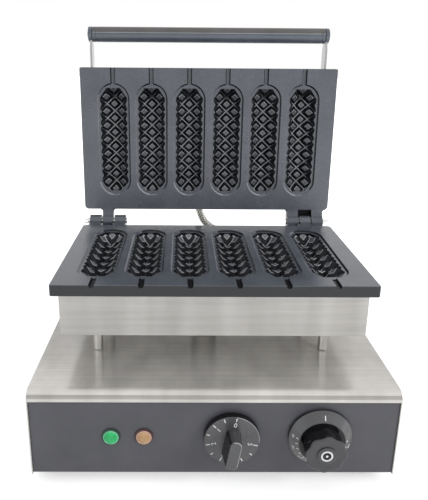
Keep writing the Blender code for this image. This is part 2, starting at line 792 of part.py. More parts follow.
def make_thermostat(base, materials):
    frame = control_frame("thermostat_turn", THERMOSTAT_X, KNOB_Z, THERMOSTAT_REST_ANGLE, base)
    sides = LOBE_COUNT * LOBE_SIDES
    skirt = [
        (SKIRT_RADIUS, KNOB_BACK),
        (SKIRT_RADIUS, SKIRT_EDGE),
        (SKIRT_FRONT_RADIUS, SKIRT_FRONT),
        (COLLAR_RADIUS, SKIRT_FRONT),
        (COLLAR_RADIUS, LOBE_START),
    ]
    loops = [[(x, y, height) for x, y in circle(radius, sides)] for radius, height in skirt]
    for radius, height in (
        (LOBE_RADIUS, LOBE_START),
        (LOBE_RADIUS, LOBE_REACH - LOBE_CHAMFER),
        (LOBE_RADIUS - LOBE_CHAMFER, LOBE_REACH),
    ):
        loops.append([(x, y, height) for x, y in lobed_outline(radius, LOBE_DEPTH)])
    knob = add_object("thermostat_knob", loft_mesh("thermostat_knob", loops), materials["knob"], parent=frame)
    bore_for_shaft(knob, "cutter_thermostat_knob_bore", -OVERRUN, KNOB_BACK + SHAFT_IN_KNOB + GAP)
    cap = [(0, LOBE_REACH + GAP), (CAP_RADIUS, LOBE_REACH + GAP), (CAP_RADIUS, LOBE_REACH + CAP_HEIGHT)]
    cap.append((0, LOBE_REACH + CAP_HEIGHT))
    mesh = turned_mesh("thermostat_knob_cap", cap)
    add_object("thermostat_knob_cap", mesh, materials["knob"], parent=frame)
    make_shaft("thermostat_shaft", KNOB_BACK, frame, materials)
    body_frame = control_frame("thermostat_body_frame", THERMOSTAT_X, KNOB_Z, 0, base)
    front = -(PANEL_SHEET + GAP)
    outline = circle(THERMOSTAT_BODY_RADIUS, SMALL_SIDES)
    mesh = prism_mesh("thermostat_body", outline, "Z", front - THERMOSTAT_BODY_DEPTH, front, smooth=True)
    body = add_object("thermostat_body", mesh, materials["ceramic"], parent=body_frame)
    bore_for_shaft(body, "cutter_thermostat_body_bore", front - SHAFT_IN_BODY - GAP, front + OVERRUN)


# Supports, wiring and glands


def make_supports(base, materials):
    low = BASE_HEIGHT + GAP
    high = HOUSING_BOTTOM_Z - GAP
    post = prism_mesh("support_post", circle(POST_RADIUS, SMALL_SIDES), "Z", 0, high - low, smooth=True)
    for row, y in (("front", FRONT_POST_Y), ("rear", REAR_POST_Y)):
        for column, side in (("left", -1), ("right", 1)):
            place = (side * POST_X, y, low)
            add_object(f"support_post_{row}_{column}", post, materials["chrome"], place, parent=base)
    inner = CONDUIT_RADIUS - CONDUIT_WALL
    profile = [(inner, low), (CONDUIT_RADIUS, low), (CONDUIT_RADIUS, high), (inner, high)]
    tube = turned_mesh("wire_conduit", profile, SMALL_SIDES, ring_shaped=True)
    add_object("wire_conduit", tube, materials["stainless"], (CONDUIT_X, CONDUIT_Y, 0), parent=base)


def terminal_top():
    return FLOOR_Z + BOTTOM_SHEET + GAP + TERMINAL_HEIGHT


def make_terminal_block(base, materials):
    bottom = FLOOR_Z + BOTTOM_SHEET + GAP
    outline = [
        (TERMINAL_Y - TERMINAL_DEPTH / 2, bottom),
        (TERMINAL_Y - TERMINAL_DEPTH / 2, bottom + TERMINAL_HEIGHT / 2),
        (TERMINAL_Y - TERMINAL_DEPTH / 4, terminal_top()),
        (TERMINAL_Y + TERMINAL_DEPTH / 4, terminal_top()),
        (TERMINAL_Y + TERMINAL_DEPTH / 2, bottom + TERMINAL_HEIGHT / 2),
        (TERMINAL_Y + TERMINAL_DEPTH / 2, bottom),
    ]
    left = CONDUIT_X - TERMINAL_WIDTH / 2
    mesh = prism_mesh("terminal_block", outline, "X", left, left + TERMINAL_WIDTH)
    add_object("terminal_block", mesh, materials["ceramic"], parent=base)


def make_mains_gland(base, materials):
    wall = -(REAR_SHEET + GAP + MAINS_THREAD_LENGTH)
    profile = [
        (MAINS_BORE_RADIUS, wall),
        (MAINS_THREAD_RADIUS, wall),
        (MAINS_THREAD_RADIUS, GAP),
        (MAINS_NUT_RADIUS, GAP),
        (MAINS_NUT_RADIUS, MAINS_NUT_HEIGHT),
        (MAINS_DOME_RADIUS, MAINS_NUT_HEIGHT),
        *[(MAINS_DOME_RADIUS * across, MAINS_REACH * up) for across, up in MAINS_DOME_SHARES],
        (MAINS_BORE_RADIUS, MAINS_REACH),
    ]
    mesh = turned_mesh("mains_gland", profile, SMALL_SIDES, ring_shaped=True)
    place = (MAINS_X, COVER_REAR, MAINS_Z)
    add_object("mains_gland", mesh, materials["black_plastic"], place, (math.radians(-90), 0, 0), base)


def gland_mesh(name, height):
    """A lead gland, its foot at zero and its lead leaving along the local Z axis."""
    profile = [
        (0, GAP),
        (GLAND_NUT_RADIUS, GAP),
        (GLAND_NUT_RADIUS, GLAND_NUT_HEIGHT),
        (GLAND_DOME_RADIUS, GLAND_NUT_HEIGHT),
        *[(GLAND_DOME_RADIUS * across, height * up) for across, up in GLAND_DOME_SHARES],
        (0, height),
    ]
    return turned_mesh(name, profile, SMALL_SIDES)


def lead_route():
    """The lead's points, from the mouth of the lid's gland to the mouth of the lower one."""
    lean = math.pi / 2 - OPEN_ANGLE
    reach, drop = -HOUSING_REAR - UPPER_GLAND_HEIGHT - GAP, UPPER_GLAND_DROP
    upper_y = HINGE_Y + drop * math.cos(lean) - reach * math.sin(lean)
    upper_z = HINGE_Z + reach * math.cos(lean) + drop * math.sin(lean)
    lower_y = HINGE_Y + HOUSING_REAR + LOWER_GLAND_HEIGHT + GAP
    straight_y, straight_z = LEAD_STRAIGHT * math.sin(lean), LEAD_STRAIGHT * math.cos(lean)
    return [
        (UPPER_GLAND_X, upper_y, upper_z),
        (UPPER_GLAND_X, upper_y + straight_y, upper_z - straight_z),
        *LEAD_ROUTE,
        (LOWER_GLAND_X, lower_y + LEAD_STRAIGHT, LOWER_GLAND_Z),
        (LOWER_GLAND_X, lower_y, LOWER_GLAND_Z),
    ]


def make_lead(base, upper, materials):
    backwards = (math.radians(-90), 0, 0)
    place = (LOWER_GLAND_X, HINGE_Y + HOUSING_REAR, LOWER_GLAND_Z)
    mesh = gland_mesh("lower_lead_gland", LOWER_GLAND_HEIGHT)
    add_object("lower_lead_gland", mesh, materials["plated_steel"], place, backwards, base)
    place = (-UPPER_GLAND_X, HOUSING_REAR, -UPPER_GLAND_DROP)
    mesh = gland_mesh("upper_lead_gland", UPPER_GLAND_HEIGHT)
    add_object("upper_lead_gland", mesh, materials["plated_steel"], place, backwards, upper)
    points = smooth_route(lead_route(), 1)
    add_tube("armoured_lead", points, LEAD_RADIUS, materials["braid"], base)


def make_base_wires(base, materials):
    """Two wires from the terminal block up the conduit, each to one end of the lower heater."""
    heater_z = HINGE_Z + HEATER_Z
    start_z = terminal_top() + GAP
    for name, side in (("front", -1), ("rear", 1)):
        x = CONDUIT_X + side * WIRE_SPREAD
        y = CONDUIT_Y + side * WIRE_SPREAD
        end_x = HEATER_LEAD_X - GAP
        end_y = CONDUIT_Y + side * HEATER_ROW
        route = [
            (x, TERMINAL_Y, start_z),
            (x, TERMINAL_Y, start_z + TERMINAL_HEIGHT),
            (x, (TERMINAL_Y + y) / 2, BASE_HEIGHT - TERMINAL_HEIGHT),
            (x, y, BASE_HEIGHT),
            (x, y, HOUSING_BOTTOM_Z),
            (x, y, HINGE_Z + INSULATION_TOP),
            (x, y, heater_z - HEATER_RADIUS),
            ((x + end_x) / 2, (y + end_y) / 2, heater_z),
            (end_x - HEATER_ROW / 2, end_y, heater_z),
            (end_x, end_y, heater_z),
        ]
        points = smooth_route(route, 2)
        add_tube(f"lower_wire_{name}", points, WIRE_RADIUS, materials["wire"], base, 1)


def make_lid_wires(upper, materials):
    """Two wires from the lid's gland, under the heater's runs, each to one end of the heater."""
    wire_z = HEATER_Z - HEATER_RADIUS - WIRE_RADIUS - 2 * GAP
    for name, side in (("front", -1), ("rear", 1)):
        x = -UPPER_GLAND_X - side * WIRE_SPREAD
        end_x = HEATER_LEAD_X - GAP
        end_y = PLATE_MIDDLE + side * HEATER_ROW
        route = [
            (x, HOUSING_REAR - HOUSING_SHEET - GAP, -UPPER_GLAND_DROP),
            (x, HOUSING_REAR - HOUSING_SHEET - WIRE_SPREAD, -UPPER_GLAND_DROP),
            (x, PLATE_MIDDLE + HEATER_ROWS * HEATER_ROW + HEATER_RADIUS + WIRE_RADIUS, wire_z),
            (x, PLATE_MIDDLE + HEATER_ROWS * HEATER_ROW - HEATER_RADIUS, wire_z),
            (x, end_y + HEATER_ROW, wire_z),
            ((x + end_x) / 2, end_y + WIRE_SPREAD, (wire_z + HEATER_Z) / 2),
            (end_x - WIRE_SPREAD, end_y, HEATER_Z),
            (end_x, end_y, HEATER_Z),
        ]
        points = smooth_route(route, 2)
        add_tube(f"upper_wire_{name}", points, WIRE_RADIUS, materials["wire"], upper, 1)


def make_capillary(base, materials):
    """The thermostat's thin tube, which ends in a bulb between the heater's runs."""
    body_top = KNOB_Z + THERMOSTAT_BODY_RADIUS + GAP
    body_y = PANEL_SHEET + THERMOSTAT_BODY_DEPTH / 2
    bulb_z = HINGE_Z + BLOCK_FACE - GAP - BULB_RADIUS
    turn_z = BASE_HEIGHT - COVER_SHEET - 4 * BULB_RADIUS
    route = [
        (THERMOSTAT_X, body_y, body_top),
        (THERMOSTAT_X, body_y, body_top + 2 * BULB_RADIUS),
        (THERMOSTAT_X, body_y + 2 * BULB_RADIUS, turn_z),
        ((THERMOSTAT_X + CONDUIT_X) / 2, (body_y + CONDUIT_Y) / 2, turn_z),
        (CONDUIT_X + 4 * BULB_RADIUS, CONDUIT_Y, turn_z),
        (CONDUIT_X, CONDUIT_Y, BASE_HEIGHT),
        (CONDUIT_X, CONDUIT_Y, HOUSING_BOTTOM_Z),
        (CONDUIT_X, CONDUIT_Y, bulb_z - 4 * BULB_RADIUS),
        (CONDUIT_X + 4 * BULB_RADIUS, CONDUIT_Y, bulb_z),
        (BULB_START_X - BULB_RADIUS, CONDUIT_Y, bulb_z),
    ]
    points = smooth_route(route, 2)
    shares = [CAPILLARY_RADIUS / BULB_RADIUS] * len(points)
    for x in (BULB_START_X, BULB_START_X + BULB_LENGTH):
        points.append(Vector((x, CONDUIT_Y, bulb_z)))
        shares.append(1)
    add_tube("thermostat_capillary", points, BULB_RADIUS, materials["copper"], base, 1, shares)


# Cooking halves. In a half's frame the hinge axis is the X axis, the plate faces up and its front is -Y.


def ear_outline():
    """Side view of a hinge ear: a barrel round the axis and a web that runs into the plate."""
    root = PLATE_REAR - EAR_ROOT
    return [
        (root, PLATE_FACE - PLATE_THICKNESS + UNION_INSET),
        (root, PLATE_FACE - UNION_INSET),
        *arc((0, 0), BARREL_RADIUS, 170, -110, 16),
    ]


def hinge_mesh(name, spans):
    bm = bmesh.new()
    for low, high in spans:
        add_prism(bm, ear_outline(), "X", low, high)
    return finish_mesh(bm, name, smooth=True)


def trough_depth(x, y, pocket):
    """How far below the plate's face the ridges lie, and the pockets below them."""
    radius = TROUGH_WIDTH / 2
    straight = TROUGH_LENGTH / 2 - radius
    across = math.hypot(x, max(abs(y) - straight, 0)) / radius
    bow = math.sqrt(max(1 - across * across, 0))
    return RIM_RIDGE_DEPTH + (RIDGE_DEPTH - RIM_RIDGE_DEPTH) * bow + (POCKET_DEPTH if pocket else 0)


def add_waffle_sheet(bm, centre):
    """Sunken diamonds between crossed ridges, as wide as the trough and longer than it."""
    side = TROUGH_WIDTH / 2
    half_width, half_length = DIAMOND_WIDTH / 2, DIAMOND_LENGTH / 2
    columns = math.ceil(side / half_width)
    rows = math.ceil(TROUGH_LENGTH / 2 / half_length)
    corners = ((1, 0), (0, 1), (-1, 0), (0, -1))
    crossings = {}

    def place_of(column, row):
        return Vector((max(-side, min(side, column * half_width)), row * half_length))

    def add_vertex(place, pocket):
        depth = trough_depth(place.x, place.y, pocket)
        return bm.verts.new((centre[0] + place.x, centre[1] + place.y, PLATE_FACE - depth))

    def find_crossing(column, row):
        if (column, row) not in crossings:
            crossings[column, row] = add_vertex(place_of(column, row), False)
        return crossings[column, row]

    def add_whole_pocket(column, row):
        ridge = [find_crossing(column + c, row + r) for c, r in corners]
        middle = place_of(column, row)
        ends = [place_of(column + c, row + r) for c, r in corners]
        floor = [add_vertex(middle.lerp(end, POCKET_FLOOR_SHARE), True) for end in ends]
        bm.faces.new(floor)
        for index in range(4):
            after = (index + 1) % 4
            bm.faces.new((ridge[index], ridge[after], floor[after]))
            bm.faces.new((ridge[index], floor[after], floor[index]))

    def add_side_pocket(column, row):
        inner = find_crossing(column - math.copysign(1, column), row)
        lowest = add_vertex(place_of(column, row), True)
        for step in (-1, 1):
            bm.faces.new((inner, find_crossing(column, row + step), lowest))

    for column in range(-columns, columns + 1):
        for row in range(-rows, rows + 1):
            if (column + row) % 2 == 0:
                continue
            if abs(column) == columns:
                add_side_pocket(column, row)
            else:
                add_whole_pocket(column, row)


def clip_ends(bm, outline):
    """Cuts a sheet to a convex outline, one edge after another, but for the edges along its sides."""
    for start, end in zip(outline, outline[1:] + outline[:1]):
        if start[0] == end[0]:
            continue
        normal = Vector((end[1] - start[1], start[0] - end[0], 0))
        parts = [*bm.verts, *bm.edges, *bm.faces]
        bmesh.ops.bisect_plane(bm, geom=parts, plane_co=(*start, 0), plane_no=normal, clear_outer=True)


def trough_outline(centre):
    x, y = TROUGH_WIDTH / 2, TROUGH_LENGTH / 2
    corner_x, corner_y = x - TROUGH_CORNER_WIDTH, y - TROUGH_CORNER_LENGTH
    quarter = [(x, corner_y), (corner_x, y)]
    outline = quarter + [(-a, b) for a, b in reversed(quarter)]
    outline += [(-a, -b) for a, b in outline]
    return [(centre[0] + a, centre[1] + b) for a, b in outline]


def trough_mesh(centre):
    bm = bmesh.new()
    add_waffle_sheet(bm, centre)
    clip_ends(bm, trough_outline(centre))
    rim = [edge for edge in bm.edges if edge.is_boundary]
    raised = bmesh.ops.extrude_edge_only(bm, edges=rim)["geom"]
    for part in raised:
        if isinstance(part, bmesh.types.BMVert):
            part.co.z = PLATE_FACE + OVERRUN
    bmesh.ops.contextual_create(bm, geom=[edge for edge in bm.edges if edge.is_boundary])
    return finish_mesh(bm, "one_trough")


def trough_centres():
    places = []
    for index in range(TROUGH_COUNT):
        places.append((index - (TROUGH_COUNT - 1) / 2) * TROUGH_PITCH)
    return places


def troughs_mesh():
    bm = bmesh.new()
    for x in trough_centres():
        mesh = trough_mesh((x, PLATE_MIDDLE))
        bm.from_mesh(mesh)
        bpy.data.meshes.remove(mesh)
    return finish_mesh(bm, "cutter_troughs")


def rims_mesh():
    bm = bmesh.new()
    for x in trough_centres():
        outline = stadium((x, PLATE_MIDDLE), RIM_WIDTH, RIM_LENGTH)
        add_prism(bm, outline, "Z", PLATE_FACE - RIM_DEPTH, PLATE_FACE + OVERRUN)
    return finish_mesh(bm, "cutter_rims")


def slots_mesh():
    bm = bmesh.new()
    end = PLATE_MIDDLE - TROUGH_LENGTH / 2 + TROUGH_WIDTH / 4
    for x in trough_centres():
        low = (x - SLOT_WIDTH / 2, PLATE_FACE - SLOT_DEPTH)
        high = (x + SLOT_WIDTH / 2, PLATE_FACE + OVERRUN)
        add_prism(bm, rectangle(low, high), "Y", PLATE_FRONT - OVERRUN, end)
    return finish_mesh(bm, "cutter_stick_slots")


def lug_flare_mesh(name):
    """The lug widens where it meets the plate's rear edge, with a fillet on each side."""
    bm = bmesh.new()
    half, fillet = LUG_WIDTH / 2 - UNION_INSET, LUG_FILLET
    start = PLATE_REAR - EAR_ROOT
    right = [(half + fillet, start), *arc((half + fillet, PLATE_REAR + fillet), fillet, 270, 180, 4)]
    outline = right + [(-x, y) for x, y in reversed(right)]
    placed = [(HINGE_X + x, y) for x, y in outline]
    low, high = PLATE_FACE - PLATE_THICKNESS + 2 * UNION_INSET, PLATE_FACE - 2 * UNION_INSET
    add_prism(bm, placed, "Z", low, high)
    return finish_mesh(bm, name, smooth=True)


def make_plate(name, half, materials):
    side = PLATE_WIDTH / 2
    outline = rounded_rectangle(
        (-side, PLATE_FRONT), (side, PLATE_REAR), PLATE_FRONT_CORNER, PLATE_REAR_CORNER, 3
    )
    mesh = prism_mesh(name, outline, "Z", PLATE_FACE - PLATE_THICKNESS, PLATE_FACE)
    plate = add_object(name, mesh, materials["plate"], parent=half)
    inner = HOUSING_WIDTH / 2 - HOUSING_SHEET - BLOCK_CLEARANCE
    depth = HOUSING_DEPTH / 2 - HOUSING_SHEET - BLOCK_CLEARANCE
    low = (-inner, PLATE_MIDDLE - depth, BLOCK_FACE)
    high = (inner, PLATE_MIDDLE + depth, PLATE_FACE - PLATE_THICKNESS + UNION_INSET)
    join(plate, box_mesh("block_of_plate", low, high))
    outer = HINGE_X - FORK_WIDTH / 2
    ears = [(-outer - EAR_WIDTH, -outer), (-outer - FORK_WIDTH, -outer - FORK_WIDTH + EAR_WIDTH)]
    lug = (HINGE_X - LUG_WIDTH / 2, HINGE_X + LUG_WIDTH / 2)
    join(plate, hinge_mesh("hinge_of_plate", [*ears, lug]))
    join(plate, lug_flare_mesh("lug_flare_of_plate"))
    reach = PLATE_WIDTH / 2 + OVERRUN
    drill(plate, "cutter_pin_bore", PIN_RADIUS + RUN_CLEARANCE, "X", -reach, reach, (0, 0))
    cut(plate, rims_mesh())
    cut(plate, troughs_mesh())
    cut(plate, slots_mesh())


def make_hinge_pins(hinge, materials):
    """Each pin passes its fork and shows its domed end on the outer side."""
    for name, side in (("left", -1), ("right", 1)):
        inner = HINGE_X - FORK_WIDTH / 2 - PIN_TAIL
        outer = HINGE_X + FORK_WIDTH / 2 + PIN_REACH
        profile = [
            (0, inner),
            (PIN_RADIUS, inner),
            (PIN_RADIUS, outer - PIN_DOME),
            (PIN_RADIUS * PIN_DOME_SHARES[0], outer - PIN_DOME * PIN_DOME_SHARES[1]),
            (0, outer),
        ]
        mesh = turned_mesh(f"hinge_pin_{name}", profile, SMALL_SIDES)
        turn = (0, math.radians(90) * side, 0)
        add_object(f"hinge_pin_{name}", mesh, materials["chrome"], turn=turn, parent=hinge)


def make_housing(name, half, materials):
    width, middle, depth = HOUSING_WIDTH / 2, PLATE_MIDDLE, HOUSING_DEPTH / 2
    low = (-width, middle - depth, HOUSING_BOTTOM)
    high = (width, middle + depth, HOUSING_TOP)
    housing = add_object(name, box_mesh(name, low, high), materials["stainless"], parent=half)
    wall = HOUSING_SHEET
    hollow_low = (low[0] + wall, low[1] + wall, low[2] + wall)
    hollow_high = (high[0] - wall, high[1] - wall, high[2] + OVERRUN)
    cut(housing, box_mesh("cutter_housing_hollow", hollow_low, hollow_high))
    return housing


def make_insulation(name, half, materials):
    width = HOUSING_WIDTH / 2 - HOUSING_SHEET - INSULATION_CLEARANCE
    depth = HOUSING_DEPTH / 2 - HOUSING_SHEET - INSULATION_CLEARANCE
    low = (-width, PLATE_MIDDLE - depth, INSULATION_BOTTOM)
    high = (width, PLATE_MIDDLE + depth, INSULATION_TOP)
    return add_object(name, box_mesh(name, low, high), materials["insulation"], parent=half)


def open_wire_hole(piece, low, high):
    hole = circle(CONDUIT_RADIUS - CONDUIT_WALL, SMALL_SIDES, (CONDUIT_X, PLATE_MIDDLE))
    cut(piece, prism_mesh("cutter_wire_hole", hole, "Z", low - OVERRUN, high + OVERRUN))


def heater_points():
    """The heater's runs: out along one row and back along the next, on both sides of the middle."""
    row, end, core, lead = HEATER_ROW, HEATER_END_X, HEATER_CORE_X, HEATER_LEAD_X
    plan = [(lead, -row), *arc((end, -2 * row), row, 90, -90), *arc((-end, -2 * row), row, -90, -270)]
    plan += arc((-core, 0), row, -90, 90)
    plan += [*arc((-end, 2 * row), row, -90, -270), *arc((end, 2 * row), row, 90, -90), (lead, row)]
    return [(x, PLATE_MIDDLE + y, HEATER_Z) for x, y in plan]


def make_heater(name, half, materials):
    add_tube(name, heater_points(), HEATER_RADIUS, materials["heater"], half, 1)


def make_clamp(name, half, materials):
    reach = HEATER_ROWS * HEATER_ROW + HEATER_RADIUS + CLAMP_OVERLAP
    low = (CLAMP_X - CLAMP_WIDTH / 2, PLATE_MIDDLE - reach, CLAMP_TOP - CLAMP_SHEET)
    high = (CLAMP_X + CLAMP_WIDTH / 2, PLATE_MIDDLE + reach, CLAMP_TOP)
    add_object(name, box_mesh(name, low, high), materials["plated_steel"], parent=half)


def make_cooking_half(prefix, half, materials):
    make_plate(f"{prefix}_plate", half, materials)
    housing = make_housing(f"{prefix}_heater_housing", half, materials)
    insulation = make_insulation(f"{prefix}_insulation", half, materials)
    make_heater(f"{prefix}_heater", half, materials)
    make_clamp(f"{prefix}_heater_clamp", half, materials)
    return housing, insulation


# Handle


def arm_screw_places(side):
    """Where a handle arm is screwed to the front wall of the lid's housing."""
    foot_middle = side * (arm_inner_face() - ARM_FOOT / 2)
    return [(foot_middle + shift * ARM_SCREW_SPREAD / 2, -HANDLE_DROP) for shift in (-1, 1)]


def arm_inner_face():
    return HANDLE_LENGTH / 2 - END_CAP_SHEET - GAP - ARM_SHEET


def make_arm(name, side, housing, upper, materials):
    inner = arm_inner_face()
    wall = HOUSING_FRONT - GAP
    half_width = ARM_WIDTH / 2
    outline = [
        (wall, -HANDLE_DROP + half_width),
        *arc((-HANDLE_Y, -HANDLE_DROP), half_width, 90, 270, 8),
        (wall, -HANDLE_DROP - half_width),
    ]
    low, high = sorted((side * inner, side * (inner + ARM_SHEET)))
    mesh = prism_mesh(name, outline, "X", low, high)
    arm = add_object(name, mesh, materials["plated_steel"], parent=upper)
    foot_x = sorted((side * (inner - ARM_FOOT), side * (inner + ARM_SHEET - UNION_INSET)))
    foot_low = (foot_x[0], wall - ARM_SHEET, -HANDLE_DROP - half_width + UNION_INSET)
    foot_high = (foot_x[1], wall - UNION_INSET, -HANDLE_DROP + half_width - UNION_INSET)
    join(arm, box_mesh("foot_of_arm", foot_low, foot_high))
    head_face = wall - ARM_SHEET - GAP
    screw = screw_mesh("arm_screw")
    for number, (x, z) in enumerate(arm_screw_places(side), 1):
        for piece in (arm, housing):
            radius = SCREW_SHANK_RADIUS + GAP
            high_end = HOUSING_FRONT + HOUSING_SHEET + OVERRUN
            low_end = head_face - OVERRUN
            drill(piece, "cutter_arm_screw_hole", radius, "Y", low_end, high_end, (x, z), SCREW_SIDES)
        turn = (math.radians(90), 0, 0)
        place = (x, head_face, z)
        add_object(f"{name}_screw_{number}", screw, materials["plated_steel"], place, turn, upper)


def make_handle(housing, upper, materials):
    """The lid's frame is turned over, so its left side lies at positive local X."""
    for name, side in (("left", 1), ("right", -1)):
        make_arm(f"handle_arm_{name}", side, housing, upper, materials)
        inner = HANDLE_LENGTH / 2 - END_CAP_SHEET
        outer = HANDLE_LENGTH / 2
        profile = [
            (0, inner),
            (HANDLE_RADIUS, inner),
            (HANDLE_RADIUS, outer - HANDLE_CHAMFER),
            (HANDLE_RADIUS - HANDLE_CHAMFER, outer),
            (END_SCREW_RADIUS, outer),
            (END_SCREW_RADIUS * END_SCREW_TOP_SHARE, outer + END_SCREW_HEIGHT),
            (0, outer + END_SCREW_HEIGHT),
        ]
        mesh = turned_mesh(f"handle_cap_{name}", profile, SMALL_SIDES)
        place = (0, -HANDLE_Y, -HANDLE_DROP)
        turn = (0, math.radians(90) * side, 0)
        add_object(f"handle_cap_{name}", mesh, materials["handle"], place, turn, upper)
    end = arm_inner_face() - GAP
    profile = [
        (0, -end),
        (HANDLE_RADIUS - HANDLE_CHAMFER, -end),
        (HANDLE_RADIUS, -end + HANDLE_CHAMFER),
        (HANDLE_RADIUS, end - HANDLE_CHAMFER),
        (HANDLE_RADIUS - HANDLE_CHAMFER, end),
        (0, end),
    ]
    mesh = turned_mesh("handle_grip", profile)
    place = (0, -HANDLE_Y, -HANDLE_DROP)
    turn = (0, math.radians(90), 0)
    add_object("handle_grip", mesh, materials["handle"], place, turn, upper)


# The whole machine


def make_base(base, materials):
    make_base_cover(base, materials)
    make_front_panel(base, materials)
    make_rear_panel(base, materials)
    make_bottom_plate(base, materials)
    make_feet(base, materials)
    make_rear_screws(base, materials)
    make_lamp("green", GREEN_LAMP_X, base, materials)
    make_lamp("amber", AMBER_LAMP_X, base, materials)
    make_timer(base, materials)
    make_thermostat(base, materials)
    make_supports(base, materials)
    make_terminal_block(base, materials)
    make_mains_gland(base, materials)


def make_lower_half(hinge, materials):
    housing, insulation = make_cooking_half("lower", hinge, materials)
    open_wire_hole(housing, HOUSING_BOTTOM, HOUSING_BOTTOM + HOUSING_SHEET)
    open_wire_hole(insulation, INSULATION_BOTTOM, INSULATION_TOP)
    make_hinge_pins(hinge, materials)


def make_lid(base, materials):
    pivot = make_frame("lid_hinge", (0, HINGE_Y, HINGE_Z), (-OPEN_ANGLE, 0, 0), base)
    upper = make_frame("upper_half", (0, 0, 0), (0, math.pi, 0), pivot)
    housing, _ = make_cooking_half("upper", upper, materials)
    make_handle(housing, upper, materials)
    return upper


def main():
    clear_scene()
    materials = make_materials()
    base = make_frame("base", (0, PANEL_FACE_Y, FOOT_HEIGHT))
    make_base(base, materials)
    hinge = make_frame("lower_half", (0, HINGE_Y, HINGE_Z), parent=base)
    make_lower_half(hinge, materials)
    upper = make_lid(base, materials)
    make_lead(base, upper, materials)
    make_base_wires(base, materials)
    make_lid_wires(upper, materials)
    make_capillary(base, materials)


main()
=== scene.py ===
"""The looks of the corn dog maker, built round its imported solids.

The shape code works in millimetres, and object_of() turns them into metres. X runs to the right, Y to the back and Z
up. A cooking half has a frame of its own: the hinge axis is its X axis, its plate faces up and its front is -Y.
"""

import json
import math

import bmesh
import bpy
from mathutils import Matrix, Vector


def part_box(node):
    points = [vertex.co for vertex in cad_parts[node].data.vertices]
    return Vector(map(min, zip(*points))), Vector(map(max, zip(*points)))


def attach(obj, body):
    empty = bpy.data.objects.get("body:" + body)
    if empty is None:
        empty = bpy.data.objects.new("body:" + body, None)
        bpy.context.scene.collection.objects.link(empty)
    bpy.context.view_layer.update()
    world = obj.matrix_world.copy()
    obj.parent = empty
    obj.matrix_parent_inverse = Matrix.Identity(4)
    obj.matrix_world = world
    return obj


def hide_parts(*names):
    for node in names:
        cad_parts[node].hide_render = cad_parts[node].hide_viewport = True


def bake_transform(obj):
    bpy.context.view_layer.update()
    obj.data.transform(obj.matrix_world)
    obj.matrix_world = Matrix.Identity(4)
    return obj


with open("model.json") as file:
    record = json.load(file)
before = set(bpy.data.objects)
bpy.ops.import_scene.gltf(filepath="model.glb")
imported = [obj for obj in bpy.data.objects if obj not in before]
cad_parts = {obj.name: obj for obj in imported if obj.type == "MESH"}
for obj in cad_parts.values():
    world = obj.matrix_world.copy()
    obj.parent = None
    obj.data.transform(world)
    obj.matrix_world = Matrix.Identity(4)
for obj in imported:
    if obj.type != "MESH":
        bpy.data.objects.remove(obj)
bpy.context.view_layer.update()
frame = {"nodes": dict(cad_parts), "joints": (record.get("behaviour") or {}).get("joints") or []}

MM = 0.001
JOINTS = {joint["name"]: Vector(joint["pos_m"]) for joint in frame["joints"]}

# Camera and lights, in metres
LENS = 37.0
FILM_WIDTH = 36
SHIFT = (0.0567, -0.1092)
CAMERA_PLACE = (-0.03095, -0.53126, 0.39584)
PITCH, YAW, ROLL = (math.radians(angle) for angle in (15.40, 0.45, 0.44))
LIT_SPOT = Vector((0, 0, 0.2))
SKY_COLOUR = (0.97, 0.985, 1)
SKY_STRENGTH = (0.27, 1.2)
FLOOR_RADIUS = 9
FLOOR_GLOW = (0.40, 1.0)
FLOOR_GLOW_REACH = (0.3, 1.0)

# Base
BASE_WIDTH = 342
BASE_DEPTH = 274
BASE_HEIGHT = 88.8
SHEET = 1.0
GAP = 0.3
COVER_FRONT = -1.3
COVER_REAR = COVER_FRONT + BASE_DEPTH
BEND = 9.7
LIP_BOTTOM = BASE_HEIGHT - BEND
PAINTED_LIGHT_LEAN = 50  # the bend's lean, in degrees, up to which it has the top's finish, whose front is painted paler
PAINTED_REFLECTION_LEAN = 72  # and up to which it has the darker band, a painted reflection
PANEL_SHEET = 1.5
PANEL_FLANGE = 12
PANEL_HALF = BASE_WIDTH / 2 - SHEET - GAP
PANEL_TOP = LIP_BOTTOM - GAP
REAR_SHEET = 1.2
LAMPS = {"green": -95.3, "amber": -64.8}
LAMP_Z = 41.5
LAMP_HOLE = 6.5
KNOB_HOLE = 4.5
VENT_X = 75
VENT_PITCH = 11
VENT_COUNT = 6
VENT_SIZE = (3.5, 26)
REAR_VENT_Z = 50
MAINS = (118, 36)
REAR_SCREW = (156, 74.5)
CONDUIT = (-6, 111.1)
CONDUIT_RADIUS = 14
CONDUIT_INNER = 12.5
SCREW_HOLE = 1.9
OVERRUN = 3  # how far a cut runs past what it cuts

# Knobs
TIMER_REST = math.radians(9.4)
THERMOSTAT_REST = math.radians(4)
KNOB_BACK = 1.6
DIAL_FACE = 6.8
INK = 0.3  # how thick a printed mark is
# The side place's near-black is painted shade.
KNOB_SIDE = 1  # places in a knob's list of finishes
# On the timer, the light place holds painted highlights.
KNOB_LIGHT = 2

# Cooking halves
OPEN_ANGLE = math.radians(91.2)
PLATE_FACE = -0.25
PLATE_HALF = 151
PLATE_REAR = -15
PLATE_FRONT = -186
PLATE_MIDDLE = -100.5
PLATE_UNDERSIDE = PLATE_FACE - 11.2
BLOCK_BOTTOM = -19
HOUSING_TOP = -11.75
HOUSING_BOTTOM = -57.25
HOUSING_HALF = 145.5
HOUSING_REAR = -26
HOUSING_FRONT = -175
HOUSING_SHEET = 1.2
HINGE_X = 122.4
TROUGHS = [(index - 2.5) * 45 for index in range(6)]
LEDGE = 1.7
SLOT = 2.5
RIM_SIZE = (36.3, 133.9)
HANDLE = (-223.7, -20)
GRIP_END = 137.1
TOP_RISE = 10  # how far a face of the grip looks up, in degrees, to have the paler finish of painted light
PAINTED_HIGHLIGHT_RISE = 16  # and the painted highlight line's
ARM_INNER = 137.4
ARM_SHEET = 2.5
ARM_HALF = 7.5
